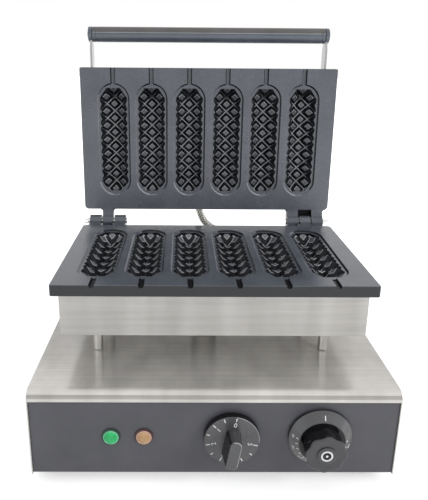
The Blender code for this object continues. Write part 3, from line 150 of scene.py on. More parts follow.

# Places in the lists of finishes, of the castings and of the troughs
# Painted light and shade: the wall places of both lists, the casting's side place and the trough's shade place hold
# painted shade, and the casting's floor place does on the lower plate; the groove places and the casting's rim place
# hold painted light.
SIDE, WALL, FLOOR, GROOVE, RIM = range(1, 6)
TROUGH_WALL, TROUGH_GROOVE, TROUGH_LAND, TROUGH_SHADE = range(1, 5)

BASE = Matrix.Translation((0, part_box("front_panel")[0].y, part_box("base_cover")[0].z))
LOWER = Matrix.Translation(JOINTS["lid_hinge"])
UPPER = LOWER @ Matrix.Rotation(-OPEN_ANGLE, 4, "X") @ Matrix.Rotation(math.pi, 4, "Y")
FORWARDS = Matrix.Rotation(math.radians(90), 4, "X")
BACKWARDS = Matrix.Rotation(math.radians(-90), 4, "X")
SIDES = (("left", -1), ("right", 1))


def shifted(matrix, x, y, z):
    return matrix @ Matrix.Translation((x * MM, y * MM, z * MM))


def sideways(matrix, side):
    """The matrix turned so that its Z axis points to one side."""
    return matrix @ Matrix.Rotation(math.radians(90) * side, 4, "Y")


def knob_frame(joint, turn):
    return Matrix.Translation(JOINTS[joint]) @ Matrix.Rotation(turn, 4, "Y") @ FORWARDS


def standing(node):
    """A frame at the middle of the node's underside."""
    low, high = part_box(node)
    return Matrix.Translation(((low.x + high.x) / 2, (low.y + high.y) / 2, low.z))


def height_of(node):
    """In millimetres."""
    low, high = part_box(node)
    return (high.z - low.z) / MM


def four_of(name):
    return [f"{name}_{row}_{column}" for row in ("front", "rear") for column in ("left", "right")]


def new_object(name, data):
    obj = bpy.data.objects.new(name, data)
    bpy.context.scene.collection.objects.link(obj)
    return obj


# Nodes


class Nodes:
    """Short ways to lay nodes in a tree. Texture sizes are in metres."""

    def __init__(self, owner, place="Object"):
        owner.use_nodes = True
        self.tree = owner.node_tree
        self.place = self.node("TexCoord").outputs[place]

    def feed(self, value, socket):
        """Links an output to the socket, or sets the socket's own value."""
        if isinstance(value, bpy.types.NodeSocket):
            self.tree.links.new(value, socket)
        else:
            socket.default_value = (*value, 1) if socket.type == "RGBA" else value

    def node(self, kind, inputs=(), **values):
        """A new node with its settings and inputs by name, and further inputs as (value, input) pairs."""
        made = self.tree.nodes.new(f"ShaderNode{kind}")
        for name, value in values.items():
            if name in made.inputs:
                self.feed(value, made.inputs[name])
            else:
                setattr(made, name, value)
        for value, target in inputs:
            self.feed(value, made.inputs[target])
        return made

    def noise(self, sizes, detail, rough):
        """Noise whose grains have these sizes along X, Y and Z."""
        place = self.node("Mapping", Vector=self.place, Scale=[1 / size for size in sizes]).outputs[0]
        return self.node("TexNoise", Vector=place, Scale=1.0, Detail=detail, Roughness=rough).outputs["Fac"]

    def spread(self, factor, low, high, start=0.3, end=0.7):
        """The factor's range from start to end, drawn out to low and high."""
        ends = {"From Min": start, "From Max": end, "To Min": low, "To Max": high}
        return self.node("MapRange", Value=factor, **ends).outputs["Result"]

    def math(self, operation, *values):
        """The result of a sum on outputs or numbers."""
        return self.node("Math", [(value, index) for index, value in enumerate(values)], operation=operation).outputs[0]

    def add(self, first, second, share):
        """The first factor plus a share of the second."""
        return self.math("MULTIPLY_ADD", second, share, first)

    def blend(self, factor, first, second):
        return self.node("Mix", [(factor, 0), (first, 6), (second, 7)], data_type="RGBA").outputs[2]

    def shown_rays(self):
        """One for rays from the camera and for those that metal or glass sends on."""
        path = self.node("LightPath").outputs
        seen = self.math("MAXIMUM", path["Is Camera Ray"], path["Is Glossy Ray"])
        return self.math("MAXIMUM", seen, path["Is Transmission Ray"])


class Finish(Nodes):
    """A material, with short ways to feed its shader."""

    def __init__(self, name, roughness, metallic=0.0):
        self.material = bpy.data.materials.new(name)
        super().__init__(self.material)
        self.set(Roughness=roughness, Metallic=metallic)

    def set(self, **values):
        """Feeds inputs of the shader, whose names have _ for each space."""
        for name, value in values.items():
            self.feed(value, self.tree.nodes["Principled BSDF"].inputs[name.replace("_", " ")])

    def bump(self, height, depth):
        self.set(Normal=self.node("Bump", Height=height, Strength=1.0, Distance=depth).outputs[0])


# Camera, light and floor


def make_camera():
    data = bpy.data.cameras.new("camera")
    data.lens = LENS
    data.sensor_width = FILM_WIDTH
    data.shift_x, data.shift_y = SHIFT
    data.clip_start = 0.01
    camera = new_object("camera", data)
    forward = Vector((math.sin(YAW) * math.cos(PITCH), math.cos(YAW) * math.cos(PITCH), -math.sin(PITCH)))
    right = Vector((math.cos(YAW), -math.sin(YAW), 0))
    up = right.cross(forward)
    tilted_right = math.cos(ROLL) * right + math.sin(ROLL) * up
    tilted_up = -math.sin(ROLL) * right + math.cos(ROLL) * up
    turn = Matrix((tilted_right, tilted_up, -forward)).transposed().to_4x4()
    camera.matrix_world = Matrix.Translation(CAMERA_PLACE) @ turn
    bpy.context.scene.camera = camera


def add_light(name, place, size, power, colour):
    data = bpy.data.lights.new(name, "AREA")
    data.shape = "RECTANGLE"
    data.size, data.size_y = size
    data.energy = power
    data.color = colour
    light = new_object(name, data)
    light.location = place
    light.rotation_euler = (LIT_SPOT - Vector(place)).to_track_quat("-Z", "Y").to_euler()
    return light


def make_lights():
    key = add_light("key", (1.30, -0.90, 0.80), (0.55, 0.9), 15.5, (1, 0.99, 0.98))
    key.visible_glossy = False  # its glare would burn out the steel in views from behind
    add_light("fill", (-1.5, -1.1, 0.8), (1.4, 1.4), 3.5, SKY_COLOUR)


def make_world():
    """A sky that is dimmer below, and plain white to the camera and in mirrors."""
    world = bpy.data.worlds.new("studio")
    nodes = Nodes(world, "Generated")
    dim = nodes.tree.nodes["Background"]
    up = nodes.node("SeparateXYZ", [(nodes.place, 0)]).outputs["Z"]
    nodes.feed(SKY_COLOUR, dim.inputs["Color"])
    nodes.feed(nodes.spread(up, *SKY_STRENGTH, 0, 1), dim.inputs["Strength"])
    white = nodes.node("Background", Color=(1, 1, 1), Strength=1)
    both = [(nodes.shown_rays(), 0), (dim.outputs[0], 1), (white.outputs[0], 2)]
    nodes.feed(nodes.node("MixShader", both).outputs[0], nodes.tree.nodes["World Output"].inputs["Surface"])
    bpy.context.scene.world = world


def make_floor():
    """A pale disc that glows up to white away from the machine."""
    bm = bmesh.new()
    bmesh.ops.create_circle(bm, cap_ends=True, segments=96, radius=FLOOR_RADIUS)
    mesh = bpy.data.meshes.new("floor")
    bm.to_mesh(mesh)
    bm.free()
    finish = Finish("floor", 0.9)
    away = finish.node("VectorMath", [(finish.place, 0)], operation="LENGTH").outputs["Value"]
    glow = finish.math("MULTIPLY", finish.shown_rays(), finish.spread(away, *FLOOR_GLOW, *FLOOR_GLOW_REACH))
    finish.set(Base_Color=(0.84, 0.84, 0.84), Specular_IOR_Level=0.1, Emission_Color=(1, 1, 1), Emission_Strength=glow)
    mesh.materials.append(finish.material)
    new_object("floor", mesh)


# Materials


def brushed_steel(name, dark, light, along="X", roughness=(0.20, 0.27), metallic=0.86, fresh=None):
    """Sheet steel brushed along one axis, with the faint broad bands of its rolling.

    If given, the last argument paints light on the front: how far back along Y the paler front starts and ends to fade
    out, and how much paler it is in front.
    """
    finish = Finish(name, 0.3, metallic)

    def sizes(length, across):
        return [length if axis == along else across for axis in "XYZ"]

    grain = finish.noise(sizes(0.05, 0.00045), 3, 0.6)
    streaks = finish.noise(sizes(0.16, 0.004), 2, 0.5)
    bands = finish.noise((0.028, 0.045, 0.30), 2, 0.5)
    tone = finish.add(finish.add(finish.spread(bands, 0, 0.4), streaks, 0.45), grain, 0.45)
    tone = finish.spread(tone, 0, 1, 0.3, 1.0)
    colour = finish.blend(tone, dark, light)
    # Painted light: the front of the sheet is paler, fading out between the two distances along Y.
    if fresh:
        near, far, gain = fresh
        pale = [tuple(part * gain for part in shade) for shade in (dark, light)]
        back = finish.node("SeparateXYZ", [(finish.place, 0)]).outputs["Y"]
        colour = finish.blend(finish.spread(back, 0, 1, near, far), finish.blend(tone, *pale), colour)
    rough = finish.spread(finish.add(grain, bands, 0.5), *roughness, 0.4, 1.1)
    finish.bump(finish.add(grain, streaks, 0.4), 0.000007)
    waver = finish.spread(streaks, -0.04, 0.04)
    brushing = finish.node("CombineXYZ", **{axis: 1 if axis == along else waver for axis in "XYZ"}).outputs[0]
    finish.set(Base_Color=colour, Roughness=rough, Tangent=brushing, Anisotropic=0.95, Anisotropic_Rotation=0.25)
    return finish.material


def coated(name, dark, light, roughness, depth=0.00012, specular=0.6):
    """A non-stick casting: an eggshell speckle, with oiled and drier patches."""
    finish = Finish(name, 0.4)
    speckle = finish.noise((0.0011,) * 3, 3, 0.7)
    patches = finish.noise((0.035,) * 3, 3, 0.5)
    tone = finish.spread(finish.add(speckle, patches, 0.5), 0, 1, 0.5, 1.0)
    rough = finish.spread(finish.add(patches, speckle, 0.3), *roughness, 0.4, 0.9)
    finish.bump(speckle, depth)
    finish.set(Base_Color=finish.blend(tone, dark, light), Roughness=rough, Specular_IOR_Level=specular)
    return finish.material


def grained_plastic(name, dark, light, roughness, grain=0.0007, depth=0.00006, **values):
    """Moulded or painted: a fine grain with faint larger clouds."""
    finish = Finish(name, roughness)
    fine = finish.noise((grain,) * 3, 2, 0.6)
    clouds = finish.noise((0.03,) * 3, 3, 0.5)
    tone = finish.spread(finish.add(clouds, fine, 0.6), 0, 1, 0.5, 1.1)
    rough = finish.spread(finish.add(fine, clouds, 1), roughness - 0.06, roughness + 0.06, 0.7, 1.3)
    finish.bump(fine, depth)
    finish.set(Base_Color=finish.blend(tone, dark, light), Roughness=rough, **values)
    return finish.material


def pebbled_lens(name, dark, light):
    """A clear-coated cap with a pebbled inside that shows as uneven colour."""
    finish = Finish(name, 0.22)
    pebbles = finish.noise((0.0016,) * 3, 2, 0.5)
    clouds = finish.noise((0.006,) * 3, 1, 0.5)
    tone = finish.spread(finish.add(pebbles, clouds, 0.7), 0, 1, 0.5, 1.2)
    finish.bump(pebbles, 0.00015)
    finish.set(Base_Color=finish.blend(tone, dark, light), Coat_Weight=0.2, Coat_Roughness=0.1, Specular_IOR_Level=0.3)
    return finish.material


def plain_metal(name, dark, light, roughness, depth=0.00001):
    """Plated or polished metal with faint smudges."""
    finish = Finish(name, roughness[0], 1.0)
    smudges = finish.noise((0.014,) * 3, 4, 0.6)
    fine = finish.noise((0.0009,) * 3, 2, 0.5)
    rough = finish.spread(finish.add(smudges, fine, 0.3), *roughness, 0.4, 0.9)
    finish.bump(finish.add(fine, smudges, 0.4), depth)
    finish.set(Base_Color=finish.blend(finish.spread(smudges, 0, 1), dark, light), Roughness=rough)
    return finish.material


def fibrous(name, dark, light):
    """Mineral wool: matted fibres in lumps."""
    finish = Finish(name, 0.95)
    fibres = finish.noise((0.006, 0.0008, 0.0012), 4, 0.7)
    lumps = finish.noise((0.012,) * 3, 3, 0.6)
    tone = finish.spread(finish.add(fibres, lumps, 0.8), 0, 1, 0.6, 1.2)
    finish.bump(finish.add(fibres, lumps, 1), 0.0008)
    finish.set(Base_Color=finish.blend(tone, dark, light), Sheen_Weight=0.3, Sheen_Roughness=0.5)
    return finish.material


def make_materials():
    """Each finish by its name: a dark and a light colour, and what else its maker takes."""
    steel = ((0.39, 0.375, 0.353), (0.61, 0.590, 0.560))
    clear_coat = {"Coat_Weight": 0.35, "Coat_Roughness": 0.16}
    polished = {"roughness": 0.2, "depth": 0.00002, "Specular_IOR_Level": 0.3}
    recipes = {
        brushed_steel: {
            "stainless": (*steel, {"metallic": 0.62}),
            # painted light: the top's front is paler
            "stainless_top": (*steel, {"metallic": 0.62, "fresh": (0.020, 0.060, 1.22)}),
            # painted reflection: the darker band on the bend
            "stainless_fold": ((0.29, 0.28, 0.262), (0.45, 0.436, 0.413), {"metallic": 0.62}),
            "stainless_box": ((0.275, 0.265, 0.250), (0.43, 0.418, 0.397), {}),
            "stainless_lid": ((0.26, 0.252, 0.238), (0.42, 0.410, 0.390), {"metallic": 0.8}),
            "zinc_sheet": ((0.66, 0.66, 0.65), (0.82, 0.82, 0.81), {"metallic": 0.7}),
            "stainless_upright": ((0.34, 0.33, 0.315), (0.56, 0.55, 0.53), {"along": "Z"}),
            "plated_steel": ((0.31, 0.31, 0.31), (0.47, 0.47, 0.47), {"along": "Y", "roughness": (0.24, 0.36)}),
        },
        coated: {
            "nonstick": ((0.050, 0.056, 0.068), (0.102, 0.111, 0.132), (0.22, 0.32), {}),
            # the plates' outer sides: a rougher cast grain, with a near-black colour that is painted shade
            "nonstick_side": ((0.011, 0.012, 0.014), (0.026, 0.028, 0.031), (0.40, 0.52), 0.0002, 0.4, {}),
            "nonstick_low": ((0.050, 0.056, 0.067), (0.103, 0.112, 0.132), (0.15, 0.24), {"specular": 0.8}),
            # painted light: a paler, glossier copy for the lower plate's studs
            "stud_low": ((0.045, 0.047, 0.055), (0.140, 0.144, 0.162), (0.12, 0.22), {"specular": 1.0}),
            # painted highlights: the lower plate's grooves and stud edges
            "groove_low": ((0.20, 0.20, 0.22), (0.46, 0.47, 0.50), (0.14, 0.24), 0.00005, 0.9, {}),
            # painted light on the rims' chamfers that face the light
            "nonstick_rim": ((0.08, 0.085, 0.095), (0.18, 0.185, 0.20), (0.20, 0.30), {}),
            "nonstick_shade": ((0.018, 0.019, 0.023), (0.052, 0.055, 0.064), (0.16, 0.26), {}),
            # painted shade: a darker copy for the upper plate's studs
            "nonstick_stud": ((0.040, 0.043, 0.050), (0.090, 0.094, 0.104), (0.18, 0.28), {}),
            # painted shade: near-black for walls, recesses and the lower slots
            "nonstick_wall": ((0.003, 0.003, 0.004), (0.014, 0.015, 0.018), (0.22, 0.34), {"specular": 0.2}),
            # painted highlights: the upper plate's grooves and stud edges, and its rims' chamfers that face the light
            # most
            "nonstick_groove": ((0.15, 0.16, 0.18), (0.34, 0.35, 0.37), (0.20, 0.30), 0.00005, {}),
        },
        grained_plastic: {
            "panel": ((0.048, 0.048, 0.058), (0.072, 0.072, 0.084), 0.42, {}),
            "knob": ((0.040, 0.040, 0.042), (0.072, 0.072, 0.076), 0.30, {"depth": 0.00003, **clear_coat}),
            # painted shade on the knobs' sides, and the dark print in the middle of the thermostat's cap
            "knob_side": (
                (0.004, 0.004, 0.005),
                (0.012, 0.012, 0.014),
                {**polished, "roughness": 0.14, "Specular_IOR_Level": 0.32},
            ),
            "knob_face": ((0.028, 0.028, 0.030), (0.052, 0.052, 0.055), 0.34, {"depth": 0.00003}),
            # painted highlights on the timer's edges
            "knob_edge": ((0.22, 0.22, 0.24), (0.40, 0.40, 0.43), 0.25, {"depth": 0.00002}),
            "handle": (
                (0.050, 0.059, 0.080),
                (0.079, 0.091, 0.118),
                {"roughness": 0.42, "Coat_Weight": 0.5, "Coat_Roughness": 0.07},
            ),
            # painted light and a painted highlight on the grip's upper faces
            "handle_top": ((0.083, 0.078, 0.076), (0.121, 0.114, 0.112), polished),
            "handle_line": ((0.21, 0.225, 0.235), (0.28, 0.30, 0.31), polished),
            "black_plastic": ((0.02, 0.02, 0.021), (0.04, 0.04, 0.042), 0.5, {}),
            "foot_rubber": ((0.016, 0.016, 0.016), (0.034, 0.034, 0.033), 0.8, 0.0012, 0.0002, {}),
            "ceramic": ((0.68, 0.66, 0.60), (0.86, 0.84, 0.78), 0.5, 0.0015, 0.0001, {}),
            "wire": ((0.36, 0.05, 0.03), (0.62, 0.10, 0.07), 0.6, 0.0008, 0.0002, {}),
            "marking": ((0.60, 0.60, 0.62), (0.86, 0.86, 0.87), 0.5, {}),
        },
        pebbled_lens: {
            # The rings' paler colours are painted highlights, and the bezels' dark colours painted shade.
            "green_lens": ((0.006, 0.28, 0.072), (0.024, 0.54, 0.165), {}),
            "green_ring": ((0.08, 0.40, 0.20), (0.26, 0.64, 0.42), {}),
            "green_bezel": ((0.004, 0.030, 0.014), (0.012, 0.070, 0.034), {}),
            "amber_lens": ((0.34, 0.20, 0.085), (0.54, 0.33, 0.17), {}),
            "amber_ring": ((0.42, 0.25, 0.19), (0.64, 0.43, 0.37), {}),
            "amber_bezel": ((0.040, 0.014, 0.012), (0.085, 0.030, 0.026), {}),
        },
        plain_metal: {
            "chrome": ((0.78, 0.78, 0.77), (0.92, 0.92, 0.91), (0.06, 0.16), {}),
            "braid": ((0.76, 0.74, 0.68), (0.96, 0.94, 0.89), (0.24, 0.40), 0.00003, {}),
            "heater_tube": ((0.10, 0.09, 0.085), (0.30, 0.27, 0.24), (0.4, 0.6), 0.00005, {}),
            "copper": ((0.42, 0.20, 0.11), (0.68, 0.38, 0.24), (0.25, 0.42), {}),
        },
        fibrous: {"insulation": ((0.62, 0.59, 0.52), (0.84, 0.83, 0.79), {})},
    }
    return {
        name: maker(name, *values, **options)
        for maker, rows in recipes.items()
        for name, (*values, options) in rows.items()
    }


# Outlines, as lists of points in millimetres


def arc(centre, radius, start, end, steps):
    points = []
    for step in range(steps + 1):
        angle = math.radians(start + (end - start) * step / steps)
        points.append((centre[0] + radius * math.cos(angle), centre[1] + radius * math.sin(angle)))
    return points


def rectangle(low, high):
    return [(low[0], low[1]), (high[0], low[1]), (high[0], high[1]), (low[0], high[1])]


def rounded_rectangle(low, high, low_radius, high_radius, steps):
    """Corner radii are given for the low and the high end of the second coordinate."""
    corners = [
        ((low[0] + low_radius, low[1] + low_radius), low_radius, 180),
        ((high[0] - low_radius, low[1] + low_radius), low_radius, 270),
        ((high[0] - high_radius, high[1] - high_radius), high_radius, 0),
        ((low[0] + high_radius, high[1] - high_radius), high_radius, 90),
    ]
    points = []
    for centre, radius, start in corners:
        points += arc(centre, radius, start, start + 90, steps)
    return points


def stadium(centre, width, length, steps=20):
    radius, straight = width / 2, (length - width) / 2
    far = arc((centre[0], centre[1] + straight), radius, 0, 180, steps)
    return far + arc((centre[0], centre[1] - straight), radius, 180, 360, steps)


def circle(radius, sides, centre=(0, 0)):
    turns = [2 * math.pi * side / sides for side in range(sides)]
    return [(centre[0] + radius * math.cos(t), centre[1] + radius * math.sin(t)) for t in turns]


def hexagon(radius, clip, sides=48):
    """A hexagon whose corners are turned down to the clip radius."""
    points = []
    for side in range(sides):
        angle = 2 * math.pi * side / sides
        from_flat = abs((angle + math.pi / 6) % (math.pi / 3) - math.pi / 6)
        reach = min(radius * math.cos(math.pi / 6) / math.cos(from_flat), clip)
        points.append((reach * math.cos(angle), reach * math.sin(angle)))
    return points


def lobed(radius, depth, lobes=8, sides=96):
    points = []
    for side in range(sides):
        angle = 2 * math.pi * side / sides
        reach = radius - depth * (1 - math.cos(lobes * angle)) / 2
        points.append((reach * math.cos(angle), reach * math.sin(angle)))
    return points


def quarter_round(radius, steps):
    """(inset, drop) pairs from the side wall up over a rounded edge to the end face."""
    turns = [math.pi / 2 * step / steps for step in range(steps + 1)]
    return [(radius * (1 - math.cos(t)), radius * (1 - math.sin(t))) for t in turns]


# Meshes


def point_on(axis, along, first, second):
    if axis == "X":
        return (along, first, second)
    if axis == "Y":
        return (first, along, second)
    return (first, second, along)


def bridge(bm, lower, upper):
    count = max(len(lower), len(upper))
    for side in range(count):
        after = (side + 1) % count
        if len(lower) == 1:
            bm.faces.new((lower[0], upper[side], upper[after]))
        elif len(upper) == 1:
            bm.faces.new((lower[side], lower[after], upper[0]))
        else:
            bm.faces.new((lower[side], lower[after], upper[after], upper[side]))


def add_loft(bm, loops, ring_shaped=False):
    rings = [[bm.verts.new(point) for point in loop] for loop in loops]
    for lower, upper in zip(rings, rings[1:]):
        bridge(bm, lower, upper)
    if ring_shaped:
        bridge(bm, rings[-1], rings[0])
        return
    for ring in (rings[0], rings[-1]):
        if len(ring) > 1:
            bm.faces.new(ring)


def add_prism(bm, outline, axis, low, high):
    add_loft(bm, [[point_on(axis, along, *point) for point in outline] for along in (low, high)])


def add_stack(bm, layers):
    """A loft through (outline, height) layers."""
    add_loft(bm, [[(x, y, height) for x, y in outline] for outline, height in layers])


def add_turned(bm, profile, sides, ring_shaped=False):
    """The profile's (radius, height) points, turned about the local Z axis."""
    loops = []
    for radius, height in profile:
        if radius == 0:
            loops.append([(0, 0, height)])
        else:
            loops.append([(x, y, height) for x, y in circle(radius, sides)])
    add_loft(bm, loops, ring_shaped)


def round_edges(bm, width, segments, chosen, sharp=35):
    """Rounds the chosen edges that are sharper than so many degrees."""
    edges = []
    for edge in bm.edges:
        if len(edge.link_faces) == 2 and math.degrees(edge.calc_face_angle()) > sharp and chosen(edge):
            edges.append(edge)
    bmesh.ops.bevel(bm, geom=edges, offset=width, segments=segments, profile=0.5, affect="EDGES")


def object_of(bm, name):
    bmesh.ops.recalc_face_normals(bm, faces=bm.faces)
    bmesh.ops.scale(bm, vec=(MM,) * 3, verts=bm.verts)
    mesh = bpy.data.meshes.new(name)
    bm.to_mesh(mesh)
    bm.free()
    return new_object(name, mesh)


def made(name, maker, *values, **options):
    """An object from one call of a function that adds to a mesh."""
    bm = bmesh.new()
    maker(bm, *values, **options)
    return object_of(bm, name)


def evaluated_mesh(obj):
    graph = bpy.context.evaluated_depsgraph_get()
    return bpy.data.meshes.new_from_object(obj.evaluated_get(graph))


def pour(mesh, bm):
    """Adds a mesh to one in the making, and drops it."""
    bm.from_mesh(mesh)
    bpy.data.meshes.remove(mesh)


def pour_part(part, bm):
    """Adds one mesh in the making to another."""
    mesh = bpy.data.meshes.new("part")
    part.to_mesh(mesh)
    part.free()
    pour(mesh, bm)


def settle(obj):
    """The object's mesh with its modifiers applied."""
    mesh = evaluated_mesh(obj)
    old = obj.data
    obj.modifiers.clear()
    obj.data = mesh
    bpy.data.meshes.remove(old)


def combine(obj, bm, operation):
    tool = object_of(bm, "tool")
    modifier = obj.modifiers.new("shape", "BOOLEAN")
    modifier.operation = operation
    modifier.solver = "EXACT"
    modifier.object = tool
    settle(obj)
    bpy.data.objects.remove(tool)


def cut(obj, maker, *runs, operation="DIFFERENCE"):
    """Takes what the maker makes in its runs away from the object."""
    bm = bmesh.new()
    for run in runs:
        maker(bm, *run)
    combine(obj, bm, operation)


def fuse(obj, maker, *runs):
    cut(obj, maker, *runs, operation="UNION")


def soften(obj, width, sharp=35):
    modifier = obj.modifiers.new("edges", "BEVEL")
    modifier.width = width * MM
    modifier.segments = 2
    modifier.limit_method = "ANGLE"
    modifier.angle_limit = math.radians(sharp)
    modifier.harden_normals = True
    settle(obj)


def put(obj, body, matrix, slot=None, finish=None, replaced=(), sharp=40, weighted=True, more=()):
    """Sets a piece in its place, on its body and in its finishes."""
    mesh = obj.data
    for name in (finish or slot, *more):
        mesh.materials.append(MATERIALS[name])
    mesh.shade_smooth()
    mesh.set_sharp_from_angle(angle=math.radians(sharp))
    if weighted:
        modifier = obj.modifiers.new("normals", "WEIGHTED_NORMAL")
        modifier.keep_sharp = True
    obj.matrix_world = matrix
    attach(obj, body)
    if replaced:
        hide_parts(*replaced)


def copy_of(obj, name):
    twin = obj.copy()
    twin.name = name
    twin.data = obj.data.copy()
    bpy.context.scene.collection.objects.link(twin)
    return twin


def faces_where(bm, test, index):
    for face in bm.faces:
        if test(face.calc_center_median()):
            face.material_index = index


# Base


def cover_outline(inset):
    return arc((COVER_FRONT + BEND, LIP_BOTTOM), BEND - inset, 180, 90, 16)


def make_cover():
    """One folded sheet: a quarter-round front edge, and side walls that run into the top over a small bend."""
    half = BASE_WIDTH / 2
    inner = half - SHEET

    def along_side(edge, x, low):
        return all(abs(abs(vert.co.x) - x) < 0.01 and vert.co.z > low for vert in edge.verts)

    bm = bmesh.new()
    outline = [(COVER_FRONT, 0), *cover_outline(0), (COVER_REAR, BASE_HEIGHT), (COVER_REAR, 0)]
    add_prism(bm, outline, "X", -half, half)
    round_edges(bm, 1.5, 4, lambda edge: along_side(edge, half, LIP_BOTTOM - 0.01))
    cover = object_of(bm, "folded_cover")
    bm = bmesh.new()
    front, rear = COVER_FRONT - OVERRUN, COVER_REAR + OVERRUN
    hollow = [(front, -OVERRUN), (front, LIP_BOTTOM), *cover_outline(SHEET)]
    add_prism(bm, [*hollow, (rear, BASE_HEIGHT - SHEET), (rear, -OVERRUN)], "X", -inner, inner)
    round_edges(bm, 0.6, 2, lambda edge: along_side(edge, inner, 5), 60)
    combine(cover, bm, "DIFFERENCE")
    cut(cover, add_prism, (circle(CONDUIT_INNER, 40, CONDUIT), "Z", BASE_HEIGHT - 4, BASE_HEIGHT + OVERRUN))
    soften(cover, 0.22)
    # The top and the upper bend get the top's finish, whose front is painted light.
    top, fold = 1, 2
    for face in cover.data.polygons:
        lean = math.degrees(math.atan2(-face.normal.y, face.normal.z))
        # Below the top's finish, down to the second lean, the bend gets a darker band that is a painted reflection.
        if abs(face.normal.x) < 0.5 and -5 < lean < PAINTED_REFLECTION_LEAN:
            face.material_index = top if lean < PAINTED_LIGHT_LEAN else fold
    put(cover, "base", BASE, "stainless", replaced=["base_cover"], more=["stainless_top", "stainless_fold"])


def round_vents(axis, low, high, height):
    """Runs of add_prism for two rows of slots."""
    row = [(index - (VENT_COUNT - 1) / 2) * VENT_PITCH for index in range(VENT_COUNT)]
    places = [side * VENT_X + shift for side in (-1, 1) for shift in row]
    return [(stadium((x, height), *VENT_SIZE, 10), axis, low, high) for x in places]


def make_front_panel():
    """A sheet with a flange at its top and its bottom, each over a round bend."""
    outer, inner = 2.2, 0.7
    low, high = (outer, outer), (outer, PANEL_TOP - outer)
    outline = [(PANEL_FLANGE, 0), *reversed(arc(low, outer, 180, 270, 6)), *reversed(arc(high, outer, 90, 180, 6))]
    outline += [(PANEL_FLANGE, PANEL_TOP), (PANEL_FLANGE, PANEL_TOP - PANEL_SHEET), *arc(high, inner, 90, 180, 6)]
    outline += [*arc(low, inner, 180, 270, 6), (PANEL_FLANGE, PANEL_SHEET)]
    panel = made("folded_front_panel", add_prism, outline, "X", -PANEL_HALF, PANEL_HALF)
    holes = [circle(LAMP_HOLE, 32, (x, LAMP_Z)) for x in LAMPS.values()]
    for joint in ("timer_turn", "thermostat_turn"):
        place = BASE.inverted() @ JOINTS[joint] / MM
        holes.append(circle(KNOB_HOLE, 32, (place.x, place.z)))
    cut(panel, add_prism, *((hole, "Y", -OVERRUN, 4) for hole in holes))
    soften(panel, 0.2)
    put(panel, "base", BASE, "panel", replaced=["front_panel"])


def make_rear_panel():
    top, inner = BASE_HEIGHT - SHEET - GAP, COVER_REAR - REAR_SHEET
    bend, flange = 1.8, COVER_REAR - PANEL_FLANGE
    fold = (COVER_REAR - bend, bend)
    outline = [(inner, top), (COVER_REAR, top), *reversed(arc(fold, bend, 270, 360, 6)), (flange, 0)]
    outline += [(flange, PANEL_SHEET), *arc(fold, bend - REAR_SHEET, 270, 360, 4)]
    panel = made("vented_rear_panel", add_prism, outline, "X", -PANEL_HALF, PANEL_HALF)
    span = (inner - OVERRUN, COVER_REAR + OVERRUN)
    holes = [circle(8.3, 32, MAINS)]
    holes += [circle(SCREW_HOLE, 20, (side * REAR_SCREW[0], REAR_SCREW[1])) for _, side in SIDES]
    cut(panel, add_prism, *round_vents("Y", *span, REAR_VENT_Z), *((hole, "Y", *span) for hole in holes))
    soften(panel, 0.2)
    put(panel, "base", BASE, "stainless", replaced=["rear_panel"])


def make_bottom_plate():
    low, high = (-PANEL_HALF, 1.8), (PANEL_HALF, COVER_REAR - REAR_SHEET - GAP)
    plate = made("vented_bottom_plate", add_prism, rounded_rectangle(low, high, 2, 2, 4), "Z", 1.8, 3.0)
    cut(plate, add_prism, *round_vents("Z", -2, 6, (low[1] + high[1]) / 2))
    soften(plate, 0.15)
    put(plate, "base", BASE, "stainless", replaced=["bottom_plate"])


# Turned profiles, as radius and height
FOOT = [(0, 0.8), (4.0, 0.8), (4.4, 0.4), (6.6, 0.4), (7.0, 0), (8.9, 0), (9.5, 0.25), (9.8, 0.9), (10.35, 6.6)]
FOOT += [(10.1, 6.9), (10.1, 7.6), (10.45, 7.9), (10.95, 13.0), (10.5, 13.5), (0, 13.5)]
SCREW = [(0, -6), (1.2, -6), (1.6, -5.5), (1.6, 0), (3.1, 0), (3.4, 0.3), (3.4, 0.9), (3.1, 1.5), (2.3, 1.95)]
SCREW += [(1.2, 2.1), (0, 2.1)]
BEZEL = [(6.9, 0.4), (8.5, 0.4), (8.7, 0.6), (8.7, 0.9), (8.3, 1.5), (7.7, 1.8), (7.3, 1.7), (7.15, 1.4), (6.9, 1.4)]
PRESSED_RING = [(5.6, 0.6), (7.2, 0.6), (7.2, 1.8), (7.05, 2.2), (6.75, 2.4), (6.5, 2.35), (6.3, 2.15), (6.1, 2.1)]
PRESSED_RING += [(5.6, 2.1)]
LAMP_SHAPES = {
    "bezel": BEZEL,
    "ring": PRESSED_RING,
    "lens": [(0, 0.7), (6.2, 0.7), (6.2, 1.9), (5.95, 2.3), (5.3, 2.6), (3.9, 2.85), (2.0, 2.98), (0, 3.0)],
}
DIAL = [(0, 0.5), (25.4, 0.5), (25.9, 0.9), (25.9, 3.0), (25.6, DIAL_FACE - 0.7), (25.4, DIAL_FACE - 0.25)]
DIAL += [(25.0, DIAL_FACE), (0, DIAL_FACE)]
SKIRT = [(0, KNOB_BACK), (29.2, KNOB_BACK), (29.6, 1.9), (29.6, 2.5), (29.45, 2.95), (29.0, 3.37), (22.2, 8.73)]
SKIRT += [(21.7, 9.05), (21.2, 9.2), (17.0, 9.2), (17.0, 12.6), (0, 12.6)]
KNOB_CAP = [(0, 24.0), (8.4, 24.0), (8.6, 24.3), (8.6, 25.2), (8.35, 25.45), (7.9, 25.55), (4.1, 25.55), (0, 25.56)]
CAP_RING = [(3.9, 25.4), (5.35, 25.4), (5.35, 25.65), (5.2, 25.7), (4.05, 25.7), (3.9, 25.65)]
CAP_DOT = [(0, 25.4), (1.1, 25.4), (1.1, 25.65), (1.0, 25.7), (0, 25.7)]
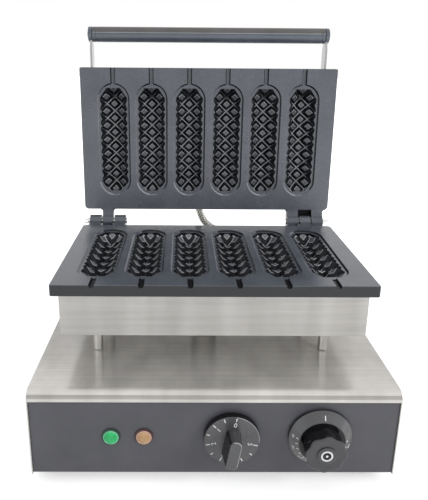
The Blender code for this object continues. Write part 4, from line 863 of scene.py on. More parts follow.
MAINS_GLAND = [(0, -10), (8.0, -10), (8.0, 4.0), (9.5, 4.0), (9.5, 9.4), (9.2, 10.6), (8.6, 12.4), (7.4, 14.3)]
MAINS_GLAND += [(6.6, 14.9), (5.2, 15), (4.5, 14.7), (0, 14.7)]
PIN = [(0, 98.8), (2.8, 98.8), (3.15, 99.2), (3.15, 151.2), (3.0, 151.9), (2.5, 152.5), (1.5, 152.9), (0, 153)]
HANDLE_CAP = [(0, 137.35), (8.6, 137.35), (8.85, 137.6), (8.85, 141.1), (8.6, 141.55), (8.1, 141.8), (4.5, 141.8)]
HANDLE_CAP += [(4.2, 142.0), (4.0, 142.6), (3.4, 142.95), (2.6, 143.0), (2.3, 142.6), (0, 142.6)]


def make_feet():
    for node in four_of("foot"):
        put(made(f"rubber_{node}", add_turned, FOOT, 48), "base", standing(node), "foot_rubber", replaced=[node])


def arm_screws(side):
    """Where a handle arm's two screws go, as X and Z in the lid."""
    return [(side * (ARM_INNER - 10) + shift, HANDLE[1]) for shift in (-4.5, 4.5)]


def make_screws():
    """Pan heads with a crossed recess, and their shanks."""
    screw = made("screw", add_turned, SCREW, 32)
    for x, y in ((0.4, 1.9), (1.9, 0.4)):
        recess = [(rectangle((-x * 0.6, -y * 0.6), (x * 0.6, y * 0.6)), 0.7), (rectangle((-x, -y), (x, y)), 2.6)]
        cut(screw, add_stack, (recess,))
    places = {}
    for name, side in SIDES:
        spot = shifted(BASE, side * REAR_SCREW[0], COVER_REAR + GAP, REAR_SCREW[1]) @ BACKWARDS
        places[f"rear_screw_{name}"] = ("base", spot)
    for name, side in (("left", 1), ("right", -1)):
        for number, (x, z) in enumerate(arm_screws(side), 1):
            spot = shifted(UPPER, x, HOUSING_FRONT - GAP - ARM_SHEET - GAP, z) @ FORWARDS
            places[f"handle_arm_{name}_screw_{number}"] = ("lid", spot)
    for index, (node, (body, spot)) in enumerate(places.items()):
        turned = spot @ Matrix.Rotation(0.5 + 1.1 * index, 4, "Z")
        put(copy_of(screw, f"crossed_{node}"), body, turned, "plated_steel", "chrome", [node])
    bpy.data.objects.remove(screw)


def make_lamps():
    """Each lens is a domed centre in a pressed ring, in a bezel of the same plastic; the ring's paler colour is a
    painted highlight, the bezel's dark one painted shade.
    """
    for colour, x in LAMPS.items():
        place = shifted(BASE, x, 0, LAMP_Z) @ FORWARDS
        for part, profile in LAMP_SHAPES.items():
            lamp = made(f"{colour}_lamp_{part}", add_turned, profile, 56, ring_shaped=profile[0][0] > 0)
            finish = f"{colour}_{part}"
            if part == "lens":
                put(lamp, "base", place, finish, replaced=[f"{colour}_lamp_lens"], sharp=60, weighted=False)
            else:
                put(lamp, "base", place, finish=finish, sharp=60)


# Knobs. Their frames look forward: local X right, local Y up, local Z out of the panel.


def add_text(bm, text, size, matrix):
    """Plain figures, as a thin solid about the matrix's own plane."""
    curve = bpy.data.curves.new("figures", "FONT")
    curve.body = text
    curve.size = size
    curve.extrude = INK / 2
    curve.align_x = "CENTER"
    curve.align_y = "CENTER"
    curve.resolution_u = 3
    obj = new_object("figures", curve)
    mesh = evaluated_mesh(obj)
    mesh.transform(matrix)
    pour(mesh, bm)
    bpy.data.objects.remove(obj)


def add_stroke(bm, matrix, width, length):
    """A thin bar with round ends about the matrix's origin, its length along the local Y axis."""
    part = bmesh.new()
    add_prism(part, stadium((0, 0), width, length, 4), "Z", -INK / 2, INK / 2)
    bmesh.ops.transform(part, matrix=matrix, verts=part.verts)
    pour_part(part, bm)


def on_dial(angle, radius, height):
    """A place on a flat dial, its own Y axis pointing outwards. Angles run clockwise from the top."""
    turn = Matrix.Rotation(-math.radians(angle), 4, "Z")
    return turn @ Matrix.Translation((0, radius, height))


# Angle anticlockwise from the top, inner and outer radius, and the figure beside the mark
TIMER_MARKS = [(0, 20.9, 24.3, "0"), (28, 20.4, 24.4, ""), (56, 20.4, 24.4, "1"), (83, 21.0, 24.4, "")]
TIMER_MARKS += [(110, 20.2, 24.4, "2"), (137, 21.4, 24.4, ""), (163, 20.4, 24.4, "3"), (188, 21.4, 24.4, "")]
TIMER_MARKS += [(214, 20.8, 24.4, "4"), (240, 21.4, 24.4, ""), (267, 20.0, 24.4, "5")]


def add_timer_grip(bm):
    """A bar across the dial, whose sides lean in towards its rounded face."""
    # Half width, the ends below and above the axis, and height, at the bar's root and at its face
    root, face, edge = (7.5, -18.75, 12.2, 3.6), (5.25, -14.25, 14.25, 26.0), 0.9
    rise = face[3] - root[3]
    levels = [(0, root[3] + (rise - edge) * share) for share in (0, 0.25, 0.5, 0.75)]
    levels += [(inset, face[3] - drop) for inset, drop in quarter_round(edge, 4)]
    layers = []
    for inset, height in levels:
        share = (height - root[3]) / rise
        half, low, high = (a + (b - a) * share for a, b in zip(root[:3], face[:3]))
        half, low, high = half - inset, low + inset, high - inset
        layers.append((rounded_rectangle((-half, low), (half, high), half * 0.6, half * 0.9, 8), height))
    add_stack(bm, layers)
    bm.normal_update()
    for side in bm.faces:
        height = side.calc_center_median().z
        # Painted shade: the grip's steep sides are near-black.
        if height > 6 and abs(side.normal.x) > 0.75:
            side.material_index = KNOB_SIDE
        # Painted highlight: the rounded edge of the grip's face towards the upper right.
        if face[3] - edge < height < face[3] - 0.02 and side.normal.x + side.normal.y > 0.3:
            side.material_index = KNOB_LIGHT


def make_timer():
    place = knob_frame("timer_turn", TIMER_REST)
    bm = bmesh.new()
    add_turned(bm, DIAL, 128)
    edge = DIAL_FACE - 0.4
    # Painted shade: the dial's side wall is near-black.
    faces_where(bm, lambda spot: spot.z < edge, KNOB_SIDE)
    # Painted highlight: the dial's rounded rim in its upper right quarter.
    faces_where(bm, lambda spot: edge < spot.z < DIAL_FACE - 0.05 and spot.y > 3 and spot.x > 0, KNOB_LIGHT)
    add_timer_grip(bm)
    knob = object_of(bm, "timer_dial_and_grip")
    put(knob, "timer_dial", place, "knob", replaced=["timer_knob"], more=["knob_side", "knob_edge"])
    bm = bmesh.new()
    for angle, inner, outer, figure in TIMER_MARKS:
        add_stroke(bm, on_dial(-angle, (inner + outer) / 2, DIAL_FACE), 0.9, outer - inner)
        if figure:
            add_text(bm, figure, 6.4, on_dial(-angle, 16.8, DIAL_FACE))
    put(object_of(bm, "timer_marks"), "timer_dial", place, finish="marking")


def on_cone(angle, radius):
    """A place on the thermostat's skirt, its own Y axis pointing down the slope."""
    (outer, low), (inner, high) = (29.6, 2.9), (21.6, 9.2)
    height = high - (radius - inner) * (high - low) / (outer - inner)
    slope = math.atan2(high - low, outer - inner)
    return on_dial(angle, radius, height) @ Matrix.Rotation(-slope, 4, "X")


def make_thermostat():
    place = knob_frame("thermostat_turn", THERMOSTAT_REST)
    bm = bmesh.new()
    add_turned(bm, SKIRT, 128)
    layers = [(lobed(19 - inset, 1.7), 12.2 + drop) for inset, drop in reversed(quarter_round(0.8, 3))]
    layers += [(lobed(19 - inset, 1.7), 24.6 - drop) for inset, drop in quarter_round(1.2, 5)]
    layers += [(circle(radius, 96), z) for radius, z in ((13.4, 24.6), (12.6, 24.35), (9.2, 24.35), (8.9, 24.4))]
    add_stack(bm, layers)
    # Painted shade: the skirt's back edge and the grip's sides are near-black.
    faces_where(bm, lambda spot: spot.z < 2.6 or (23.3 > spot.z > 8.9 and spot.xy.length < 21), KNOB_SIDE)
    faces_where(bm, lambda spot: spot.z > 23.3, KNOB_LIGHT)
    knob = object_of(bm, "thermostat_skirt_and_grip")
    put(knob, "thermostat_dial", place, "knob", replaced=["thermostat_knob"], more=["knob_side", "knob_face"])
    bm = bmesh.new()
    add_turned(bm, KNOB_CAP, 96)
    # The dark middle of the cap, inside its printed ring, is print.
    faces_where(bm, lambda spot: spot.z > 25.5 and spot.xy.length < 4.0, KNOB_SIDE)
    cap = object_of(bm, "thermostat_cap")
    put(cap, "thermostat_dial", place, "knob", "knob_face", ["thermostat_knob_cap"], more=["knob_side"])
    bm = bmesh.new()
    add_turned(bm, CAP_RING, 96, ring_shaped=True)
    add_turned(bm, CAP_DOT, 48)
    add_stroke(bm, on_cone(0, 24.6), 0.8, 4.4)
    for angle, figure in ((-84, "50"), (-98, ""), (-112, "150"), (-126, ""), (-140, "250"), (84, ""), (100, "300")):
        add_stroke(bm, on_cone(angle, 23.1), 0.7, 2.4)
        if figure:
            add_text(bm, figure, 3.1, on_cone(angle, 26.4))
    put(object_of(bm, "thermostat_marks"), "thermostat_dial", place, finish="marking")


# Supports, glands and lead


def make_supports():
    top = height_of("support_post_front_left")
    profile = [(0, 0), (4.5, 0), (4.8, 0.3), (4.8, top - 0.3), (4.5, top), (0, top)]
    for node in four_of("support_post"):
        put(made(f"polished_{node}", add_turned, profile, 48), "base", standing(node), "chrome", replaced=[node])
    node = "wire_conduit"
    top, inner, outer, edge = height_of(node), CONDUIT_INNER, CONDUIT_RADIUS, 0.3
    wall = [(inner, edge), (inner + edge, 0), (outer - edge, 0), (outer, edge)]
    wall += [(outer, top - edge), (outer - edge, top), (inner + edge, top), (inner, top - edge)]
    tube = made("conduit_tube", add_turned, wall, 72, ring_shaped=True)
    put(tube, "base", standing(node), "stainless", "stainless_upright", [node])


def add_nut(bm, radius):
    """A hexagon with its corners turned down at both ends."""
    low, high, chamfer = 0.3, 4.5, 0.08 * radius
    full, clipped = hexagon(radius, radius), hexagon(radius, radius * 0.90)
    add_stack(bm, [(clipped, low), (full, low + chamfer), (full, high - chamfer), (clipped, high)])


def make_mains_gland():
    """A nut against the panel and a ribbed cap whose mouth is open."""
    gland = made("mains_cable_gland", add_turned, MAINS_GLAND, 64)
    fuse(gland, add_nut, (12.5,))
    cut(gland, add_prism, (circle(4.2, 48), "Z", -12, 17))
    flutes = [circle(0.55, 8, centre) for centre in circle(9.75, 20)]
    cut(gland, add_prism, *((flute, "Z", 5.2, 9.2) for flute in flutes))
    place = shifted(BASE, MAINS[0], COVER_REAR, MAINS[1]) @ BACKWARDS
    put(gland, "base", place, "black_plastic", replaced=["mains_gland"])


def make_lead_gland(node, body, place, height):
    bm = bmesh.new()
    add_nut(bm, 8.5)
    profile = [(0, 4.3), (6.5, 4.3), (6.5, 5.0), (6.8, 5.2)]
    for radius, share in ((6.8, 0.62), (6.5, 0.66), (6.5, 0.72), (6.8, 0.76), (6.7, 0.88), (6.1, 0.97)):
        profile.append((radius, height * share))
    add_turned(bm, [*profile, (5.3, height), (0, height)], 48)
    put(object_of(bm, f"nut_and_cap_of_{node}"), body, place @ BACKWARDS, "plated_steel", "chrome", [node])


LEAD_PATH = [(-9.2, 236.52, 197.18), (-9.2, 236.42, 192.18), (-7.8, 236.8, 187.8), (-6.3, 237.6, 182.7)]
LEAD_PATH += [(-4.0, 238.9, 177.5), (-0.2, 240.9, 171.4), (4.9, 243.0, 165.9), (13.0, 244.6, 160.2)]
LEAD_PATH += [(22.6, 244.2, 155.6), (32.9, 240.7, 152.3), (42.4, 234.3, 150.1), (50.2, 225.4, 148.8)]
LEAD_PATH += [(55.3, 215.0, 148.2), (58.0, 202.9, 148.0), (58.0, 197.9, 148.0)]
LOWER_GLAND = (58, -34)
UPPER_GLAND = (9.2, -24.6)
LEAD_CORE = 3.9
BRAID_STRANDS = 7
BRAID_TURN = 25  # along the lead, for one turn of a strand
BRAID_SPACING = 0.45
BRAID_RADIUS = 4.35
BRAID_WEAVE = 0.17
RIBBON = [(-1.05, 0), (-0.85, 0.16), (0.85, 0.16), (1.05, 0), (0.85, -0.16), (-0.85, -0.16)]


def smooth_path(route, spacing):
    """Evenly spaced points on a curve through the route's own points."""
    points = [Vector(point) for point in route]
    ends = [points[0] * 2 - points[1], *points, points[-1] * 2 - points[-2]]
    dense = []
    for before, start, end, after in zip(ends, ends[1:], ends[2:], ends[3:]):
        for step in range(24):
            t = step / 24
            dense.append(
                start
                + (end - before) * t / 2
                + (2 * before - 5 * start + 4 * end - after) * t**2 / 2
                + (3 * start - before - 3 * end + after) * t**3 / 2
            )
    dense.append(points[-1])
    total = sum((b - a).length for a, b in zip(dense, dense[1:]))
    count = round(total / spacing)
    even, run, target = [dense[0]], 0.0, total / count
    for a, b in zip(dense, dense[1:]):
        leg = (b - a).length
        while run + leg >= target - 1e-9 and len(even) < count:
            even.append(a.lerp(b, (target - run) / leg))
            target += total / count
        run += leg
    return [*even, dense[-1]], total


def path_frames(points):
    """Two directions across the path at each point, carried along it without twist."""
    frames = []
    side = Vector((1, 0, 0))
    for index in range(len(points)):
        after = points[min(index + 1, len(points) - 1)]
        before = points[max(index - 1, 0)]
        along = (after - before).normalized()
        side = (side - along * side.dot(along)).normalized()
        frames.append((side.copy(), along.cross(side)))
    return frames


def make_lead():
    """A metal braid over a core: ribbons wound both ways, each over and under the next."""
    points, length = smooth_path(LEAD_PATH, BRAID_SPACING)
    frames = path_frames(points)
    step = length / (len(points) - 1)
    bm = bmesh.new()
    core = []
    for point, (first, second) in zip(points[::3], frames[::3]):
        core.append([tuple(point + LEAD_CORE * (first * x + second * y)) for x, y in circle(1, 20)])
    add_loft(bm, core)
    faces_where(bm, lambda spot: True, 1)
    for way in (1, -1):
        for strand in range(BRAID_STRANDS):
            loops = []
            for index, (point, (first, second)) in enumerate(zip(points, frames)):
                turn = 2 * math.pi * (strand / BRAID_STRANDS + way * index * step / BRAID_TURN)
                outward = first * math.cos(turn) + second * math.sin(turn)
                around = second * math.cos(turn) - first * math.sin(turn)
                weave = way * BRAID_WEAVE * math.cos(BRAID_STRANDS * 2 * math.pi * index * step / BRAID_TURN)
                centre = point + outward * (BRAID_RADIUS + weave)
                loops.append([tuple(centre + around * x + outward * y) for x, y in RIBBON])
            add_loft(bm, loops)
    lead = object_of(bm, "braided_lead")
    for name in ("braid", "black_plastic"):
        lead.data.materials.append(MATERIALS[name])
    lead.data.shade_smooth()
    lead.data.set_sharp_from_angle(angle=math.radians(60))
    lead.matrix_world = BASE
    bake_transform(lead)
    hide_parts("armoured_lead")
    make_lead_gland("lower_lead_gland", "base", shifted(LOWER, LOWER_GLAND[0], HOUSING_REAR, LOWER_GLAND[1]), 12)
    make_lead_gland("upper_lead_gland", "lid", shifted(UPPER, UPPER_GLAND[0], HOUSING_REAR, UPPER_GLAND[1]), 10)


# Cooking halves


def ear_outline():
    root = PLATE_REAR - 4
    return [(root, PLATE_UNDERSIDE + 0.5), (root, PLATE_FACE - 0.5), *arc((0, 0), 7.5, 165, -110, 32)]


def flare_outline(low, high):
    """The root of an ear or a fork between two X values, with a fillet at each side."""
    fillet, root = 4.2, PLATE_REAR - 4
    right = [(high + fillet, root), *arc((high + fillet, PLATE_REAR + fillet), fillet, 270, 180, 10)]
    left = [(low - fillet, root), *arc((low - fillet, PLATE_REAR + fillet), fillet, 270, 360, 10)]
    return right + left[::-1]


def add_ear(bm, low, high):
    add_prism(bm, ear_outline(), "X", low, high)
    round_edges(bm, 0.4, 2, lambda edge: abs(edge.verts[0].co.x - edge.verts[1].co.x) < 0.01, 60)


def add_well(bm, x):
    """The cutter of one trough's well, whose rim opens outwards over a chamfer."""
    layers = []
    for outset, height in ((-0.6, -17.5), (-0.6, PLATE_FACE - 1.6), (0.7, PLATE_FACE - 0.12), (1.0, PLATE_FACE + 0.01)):
        layers.append((stadium((x, PLATE_MIDDLE), RIM_SIZE[0] + 2 * outset, RIM_SIZE[1] + 2 * outset), height))
    add_stack(bm, [*layers, (layers[-1][0], PLATE_FACE + OVERRUN)])


def add_stick_slot(bm, x):
    profile = [(x - 1.7, PLATE_FACE - SLOT), (x - 2.6, PLATE_FACE - 0.2), (x - 2.8, PLATE_FACE + 0.01)]
    profile += [(x - 2.8, PLATE_FACE + OVERRUN)]
    profile += [(2 * x - a, b) for a, b in reversed(profile)]
    add_prism(bm, profile, "Y", PLATE_FRONT - OVERRUN, PLATE_MIDDLE - RIM_SIZE[1] / 2 + OVERRUN)


def make_casting():
    """The plate with its hinge ears, wells for the troughs and slots for the sticks."""
    rounding = quarter_round(0.7, 3)
    levels = [(inset, PLATE_UNDERSIDE + drop) for inset, drop in reversed(rounding)]
    levels += [(inset, PLATE_FACE - drop) for inset, drop in rounding]
    stack = []
    for inset, height in levels:
        low = (-PLATE_HALF + inset, PLATE_FRONT + inset)
        high = (PLATE_HALF - inset, PLATE_REAR - inset)
        stack.append((rounded_rectangle(low, high, 2 - inset, 5 - inset, 6), height))
    casting = made("casting", add_stack, stack)
    low, high = (-HOUSING_HALF + 3.7, HOUSING_FRONT + 3.7), (HOUSING_HALF - 3.7, HOUSING_REAR - 3.7)
    fuse(casting, add_prism, (rounded_rectangle(low, high, 3, 3, 4), "Z", BLOCK_BOTTOM, PLATE_UNDERSIDE + 1))
    fork = 22 - HINGE_X  # where the left side's fork ends; the right side has a single ear
    for low, high in ((fork - 13.7, fork), (fork - 44, fork - 30.3), (HINGE_X - 6.5, HINGE_X + 6.5)):
        fuse(casting, add_ear, (low, high))
    for low, high in ((HINGE_X - 6.4, HINGE_X + 6.4), (fork - 43.9, fork - 30.4), (fork - 13.6, fork - 0.1)):
        fuse(casting, add_prism, (flare_outline(low, high), "Z", PLATE_UNDERSIDE + 1.0, PLATE_FACE - 1.0))
    root, top = PLATE_REAR - 4, PLATE_UNDERSIDE + 0.7
    web = [(root, -6.5), *arc((0, 0), 7.9, 235, 250, 4), (-2.7, top), (root, top)]
    fuse(casting, add_prism, (web, "X", fork - 31, fork - 13))
    cut(casting, add_prism, (circle(3.45, 32), "X", -PLATE_HALF - OVERRUN, PLATE_HALF + OVERRUN))
    cut(casting, add_well, *((x,) for x in TROUGHS))
    cut(casting, add_stick_slot, *((x,) for x in TROUGHS))
    for face in casting.data.polygons:
        spot = face.center / MM
        edge = abs(spot.x) > PLATE_HALF - 0.8 or spot.y < PLATE_FRONT + 0.8
        in_slot = spot.y < PLATE_MIDDLE - 66.5 and min(abs(spot.x - x) for x in TROUGHS) < 2.7
        # Painted shade: the slots' walls are near-black, and so are their floors on the lower plate.
        if in_slot and spot.z < PLATE_FACE - 0.05 and spot.z > -4:
            face.material_index = WALL if abs(face.normal.x) > 0.3 else FLOOR
        # Painted shade on the ears' side faces, in the gaps of the hinge
        elif spot.y > PLATE_REAR + 1 and abs(face.normal.x) > 0.9:
            face.material_index = WALL
        # The plate's outer sides: a rougher cast grain, and a near-black colour that is painted shade.
        elif edge and abs(face.normal.z) < 0.5:
            face.material_index = SIDE
        # and on the web in the fork's window
        elif spot.y > PLATE_REAR and spot.z > -7.95 and fork - 30.3 < spot.x < fork - 13.7:
            face.material_index = WALL
    return casting


# The waffle: studs between grooves that cross at (9 j, 8.6 k) where j + k is even, and run this far apart
GROOVE_GRID = (9, 8.6)
GROOVE_APART = 12.435
GROOVE_HALF = 0.6
STUD_FACE = 3.4
STUD_HEIGHT = 4.4
HOLLOW = (16.0, 62.0)
HOLLOW_CORNER = (7.8, 11.5)
TRAY_BOTTOM = -17.4
TOOTH_HALF = 2.4
TOOTH_TIP = 13.9


def hollow_height(x, y, stud):
    end = 0.8 * max(abs(y) - 45.7, 0)
    return PLATE_FACE - 11.4 + 0.049 * (x * x + end * end) - STUD_HEIGHT * (1 - stud)


def lattice_steps(reach):
    """Positions across the grooves in units of their spacing, each with its share of the studs' height."""
    foot, face = GROOVE_HALF / GROOVE_APART, STUD_FACE / GROOVE_APART
    unit = [(0, 0), (foot, 0), (face, 0.94), (face + 0.05, 1), (0.42, 1), (0.5, 1), (0.58, 1)]
    unit += [(0.95 - face, 1), (1 - face, 0.94), (1 - foot, 0)]
    return [(index + step, share) for index in range(-reach, reach) for step, share in unit]


def add_waffle(bm):
    """The studs and grooves of one hollow, their faces sorted into stud faces, walls and groove floors."""
    steps = lattice_steps(6)
    verts = []
    for a, first in steps:
        row = []
        for b, second in steps:
            x, y = GROOVE_GRID[0] * (a + b), GROOVE_GRID[1] * (a - b)
            inside = abs(x) < HOLLOW[0] + 5 and abs(y) < HOLLOW[1] + 5
            row.append(bm.verts.new((x, y, hollow_height(x, y, min(first, second)))) if inside else None)
        verts.append(row)
    for i, ((_, a_share), (_, a_next)) in enumerate(zip(steps, steps[1:])):
        for j, ((_, b_share), (_, b_next)) in enumerate(zip(steps, steps[1:])):
            corners = [verts[i][j], verts[i][j + 1], verts[i + 1][j + 1], verts[i + 1][j]]
            if None in corners:
                continue
            lowest = min(a_share + a_next, b_share + b_next)
            face = bm.faces.new(corners)
            # Painted shade on the walls, and a pale painted highlight on the groove floors
            face.material_index = TROUGH_GROOVE if lowest == 0 else TROUGH_WALL if lowest < 1.5 else 0
            # painted highlight on the stud faces' edges that face one way
            if 1.5 < lowest < 2 and (steps[i][0] - steps[j][0] + 0.02) % 1 > 0.5:
                face.material_index = TROUGH_GROOVE
            spot = face.calc_center_median()
            # painted shade on the outer groove floors
            if lowest == 0 and (abs(spot.x) > 10.5 or spot.y < -48):
                face.material_index = TROUGH_SHADE


def trim(bm, point, outward):
    bmesh.ops.bisect_plane(
        bm,
        geom=bm.verts[:] + bm.edges[:] + bm.faces[:],
        dist=1e-5,
        plane_co=point,
        plane_no=outward,
        clear_outer=True,
    )


def open_edges(bm):
    return [edge for edge in bm.edges if len(edge.link_faces) == 1]


def make_tray():
    """One trough as a closed solid that fills its well: the waffled hollow, a ledge round it and plain sides."""
    ledge = PLATE_FACE - LEDGE
    bm = bmesh.new()
    add_waffle(bm)
    bmesh.ops.triangulate(bm, faces=bm.faces[:])
    for x_side in (-1, 1):
        trim(bm, (x_side * HOLLOW[0], 0, 0), (x_side, 0, 0))
        trim(bm, (0, x_side * HOLLOW[1], 0), (0, x_side, 0))
        for y_side in (-1, 1):
            corner = (x_side * HOLLOW[0], y_side * (HOLLOW[1] - HOLLOW_CORNER[1]), 0)
            trim(bm, corner, (x_side * HOLLOW_CORNER[1], y_side * HOLLOW_CORNER[0], 0))
    trim(bm, (0, 0, ledge), (0, 0, 1))
    for item in bmesh.ops.extrude_edge_only(bm, edges=open_edges(bm))["geom"]:
        if isinstance(item, bmesh.types.BMVert):
            item.co.z = ledge
        # Painted shade: the hollow's edge below the ledge is near-black.
        elif isinstance(item, bmesh.types.BMFace):
            item.material_index = TROUGH_WALL
    bmesh.ops.remove_doubles(bm, verts=bm.verts[:], dist=0.002)
    border = open_edges(bm)
    outline = stadium((0, 0), RIM_SIZE[0] + 0.1, RIM_SIZE[1] + 0.1)
    rings = [[bm.verts.new((x, y, height)) for x, y in outline] for height in (ledge, TRAY_BOTTOM)]
    bridge(bm, *rings)
    bm.faces.new(rings[1])
    outer = [bm.edges.get((a, b)) for a, b in zip(rings[0], rings[0][1:] + rings[0][:1])]
    for item in bmesh.ops.triangle_fill(bm, edges=border + outer, use_beauty=True)["geom"]:
        if isinstance(item, bmesh.types.BMFace):
            item.material_index = TROUGH_LAND
    teeth = bmesh.new()
    for side in (-1, 1):
        root, tip = side * (HOLLOW[0] + 0.2), side * TOOTH_TIP
        for step in range(-4, 5, 2):
            row = step * GROOVE_GRID[1]
            tooth = [(root, row - TOOTH_HALF), (tip, row), (root, row + TOOTH_HALF)]
            add_prism(teeth, tooth, "Z", ledge - 5, ledge - 0.03)
    faces_where(teeth, lambda spot: spot.z > ledge - 0.1, TROUGH_LAND)
    # painted shade on the teeth's sides
    faces_where(teeth, lambda spot: spot.z < ledge - 0.1, TROUGH_WALL)
    bmesh.ops.recalc_face_normals(teeth, faces=teeth.faces)
    pour_part(teeth, bm)
    return object_of(bm, "tray")


def shade_rims(mesh, way):
    """The rims' chamfers that face away from the light get the darker finish, and those that face it a paler one."""
    for face in mesh.polygons:
        spot = face.center / MM
        on_rim = PLATE_FACE - 1.7 < spot.z < PLATE_FACE - 0.02 and 0.2 < face.normal.z < 0.95
        inside = PLATE_MIDDLE - 68.6 < spot.y < PLATE_MIDDLE + 68.6 and abs(spot.x) < TROUGHS[-1] + 20
        if on_rim and inside and face.material_index == 0:
            turned_away = way * (face.normal.x + face.normal.y)
            if turned_away > 0.15:
                face.material_index = WALL
            elif turned_away < -0.5:
                face.material_index = GROOVE if turned_away < -0.85 and way > 0 else RIM


# For each half: its body, frame, the side of its rims that is turned away from the light, and the finishes of its face,
# the floor of its stick slots (painted shade on the lower half), its grooves (a pale painted highlight) and its studs
# (a paler copy that is painted light on the lower half, a darker one that is painted shade on the upper)
HALVES = {
    "lower": ("base", LOWER, -1, "nonstick_low", "nonstick_wall", "groove_low", "stud_low"),
    "upper": ("lid", UPPER, 1, "nonstick", "nonstick", "nonstick_groove", "nonstick_stud"),
}


def make_plates():
    casting = make_casting()
    tray = make_tray()
    trays = bmesh.new()
    for x in TROUGHS:
        copy = tray.data.copy()
        copy.transform(Matrix.Translation((x * MM, PLATE_MIDDLE * MM, 0)))
        pour(copy, trays)
    bmesh.ops.scale(trays, vec=(1 / MM,) * 3, verts=trays.verts)
    trays = object_of(trays, "trays")
    for name, (body, matrix, way, land, floor, groove, stud) in HALVES.items():
        twin = copy_of(casting, f"{name}_casting")
        shade_rims(twin.data, way)
        more = ["nonstick_side", "nonstick_wall", floor, groove, "nonstick_rim"]
        put(twin, body, matrix, "nonstick", land, [f"{name}_plate"], more=more)
        troughs = copy_of(trays, f"{name}_troughs")
        more = ["nonstick_wall", groove, land, "nonstick_shade"]
        put(troughs, body, matrix, "nonstick", stud, sharp=28, weighted=False, more=more)
    for source in (casting, tray, trays):
        bpy.data.objects.remove(source)


def make_housing(name, underside, holes):
    """A folded box, open towards the plate, with rounded folds."""
    low, high = (-HOUSING_HALF, HOUSING_FRONT), (HOUSING_HALF, HOUSING_REAR)
    bm = bmesh.new()
    add_prism(bm, rectangle(low, high), "Z", HOUSING_BOTTOM, HOUSING_TOP)
    round_edges(bm, 1.6, 4, lambda edge: min(v.co.z for v in edge.verts) < HOUSING_TOP - 1)
    housing = object_of(bm, f"{name}_box")
    wall = HOUSING_SHEET
    low, high = (low[0] + wall, low[1] + wall), (high[0] - wall, high[1] - wall)
    cut(housing, add_prism, (rectangle(low, high), "Z", HOUSING_BOTTOM + wall, HOUSING_TOP + OVERRUN))
    cut(housing, add_prism, *holes)
    soften(housing, 0.2, 50)
    for face in housing.data.polygons:
        face.material_index = int(face.center.z < (HOUSING_BOTTOM + 0.05) * MM)
    body, matrix = HALVES[name][:2]
    put(housing, body, matrix, "stainless", "stainless_box", [f"{name}_heater_housing"], more=[underside])


def make_housings():
    conduit = circle(CONDUIT_INNER, 40, (CONDUIT[0], PLATE_MIDDLE))
    make_housing("lower", "zinc_sheet", [(conduit, "Z", HOUSING_BOTTOM - OVERRUN, HOUSING_BOTTOM + 4)])
    screws = [circle(SCREW_HOLE, 16, spot) for side in (-1, 1) for spot in arm_screws(side)]
    make_housing("upper", "stainless_lid", [(hole, "Y", HOUSING_FRONT - OVERRUN, HOUSING_FRONT + 4) for hole in screws])


def make_pins():
    for name, side in SIDES:
        pin = made(f"domed_pin_{name}", add_turned, PIN, 40)
        put(pin, "base", sideways(LOWER, side), "chrome", replaced=[f"hinge_pin_{name}"])


# Handle


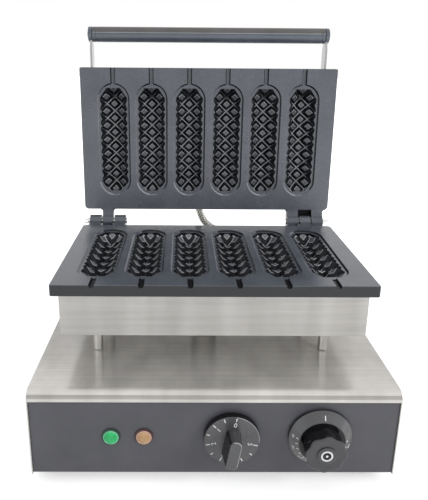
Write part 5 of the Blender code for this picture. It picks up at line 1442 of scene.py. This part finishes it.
def make_handle():
    middle, end = shifted(UPPER, 0, *HANDLE), GRIP_END
    top, line = 1, 2
    place = sideways(middle, 1)
    profile = [(0, end), (7.6, end), (8.3, end - 0.2), (8.7, end - 0.6), (8.85, end - 1.2)]
    profile += [(8.85, end - 3.6), (8.55, end - 3.9), (8.55, end - 4.5), (8.85, end - 4.8)]
    profile += [(radius, -height) for radius, height in reversed(profile)]
    grip = made("round_grip", add_turned, profile, 72)
    # Painted light: the grip's faces that look up are paler, and a narrow band of them looking forwards is a painted
    # highlight line.
    for face in grip.data.polygons:
        normal = place.to_3x3() @ face.normal
        rise = math.degrees(math.asin(normal.z))
        if abs(normal.x) < 0.5 and rise > TOP_RISE:
            face.material_index = line if rise < PAINTED_HIGHLIGHT_RISE and normal.y < 0 else top
    put(grip, "lid", place, "handle", replaced=["handle_grip"], more=["handle_top", "handle_line"])
    for name, side in (("left", 1), ("right", -1)):
        cap = made(f"end_cap_{name}", add_turned, HANDLE_CAP, 56)
        notch = [(5.6, 12), *arc((0, 0), 5.6, 0, -180, 20), (-5.6, 12)]
        cut(cap, add_prism, (notch, "Z", 135, 140.0))
        put(cap, "lid", sideways(middle, side), "handle", replaced=[f"handle_cap_{name}"])
        make_arm(name, side)


def make_arm(name, side):
    """A flat bar round the grip's end, bent over to a foot on the lid's front wall."""
    wall, neck = HOUSING_FRONT - GAP, 5.5
    y, z = HANDLE
    outline = [(wall, z + ARM_HALF), (y + 16, z + ARM_HALF), (y + 10, z + neck), *arc(HANDLE, neck, 90, 270, 20)]
    outline += [(y + 10, z - neck), (y + 16, z - ARM_HALF), (wall, z - ARM_HALF)]
    span = sorted((side * ARM_INNER, side * (ARM_INNER + ARM_SHEET)))
    arm = made(f"handle_bar_{name}", add_prism, outline, "X", *span)
    low, high = sorted((side * (ARM_INNER - 20), side * (ARM_INNER + 0.6)))
    foot = rounded_rectangle((low, z - ARM_HALF), (high, z + ARM_HALF), 2.5, 2.5, 5)
    fuse(arm, add_prism, (foot, "Y", wall - ARM_SHEET, wall))
    cut(arm, add_prism, *((circle(SCREW_HOLE, 16, spot), "Y", wall - 6, wall + OVERRUN) for spot in arm_screws(side)))
    soften(arm, 0.35, 50)
    put(arm, "lid", UPPER, "plated_steel", replaced=[f"handle_arm_{name}"])


# The whole machine


def dress_kept_nodes():
    """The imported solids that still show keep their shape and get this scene's materials, slot by slot."""
    for node in frame["nodes"].values():
        for spot in node.material_slots:
            spot.material = MATERIALS[spot.material.name.split(".")[0]]


def main():
    bpy.context.scene.view_settings.view_transform = "Standard"
    make_camera()
    make_world()
    make_lights()
    make_floor()
    dress_kept_nodes()
    make_cover()
    make_front_panel()
    make_rear_panel()
    make_bottom_plate()
    make_feet()
    make_screws()
    make_lamps()
    make_timer()
    make_thermostat()
    make_supports()
    make_mains_gland()
    make_plates()
    make_housings()
    make_pins()
    make_handle()
    make_lead()


MATERIALS = make_materials()
main()
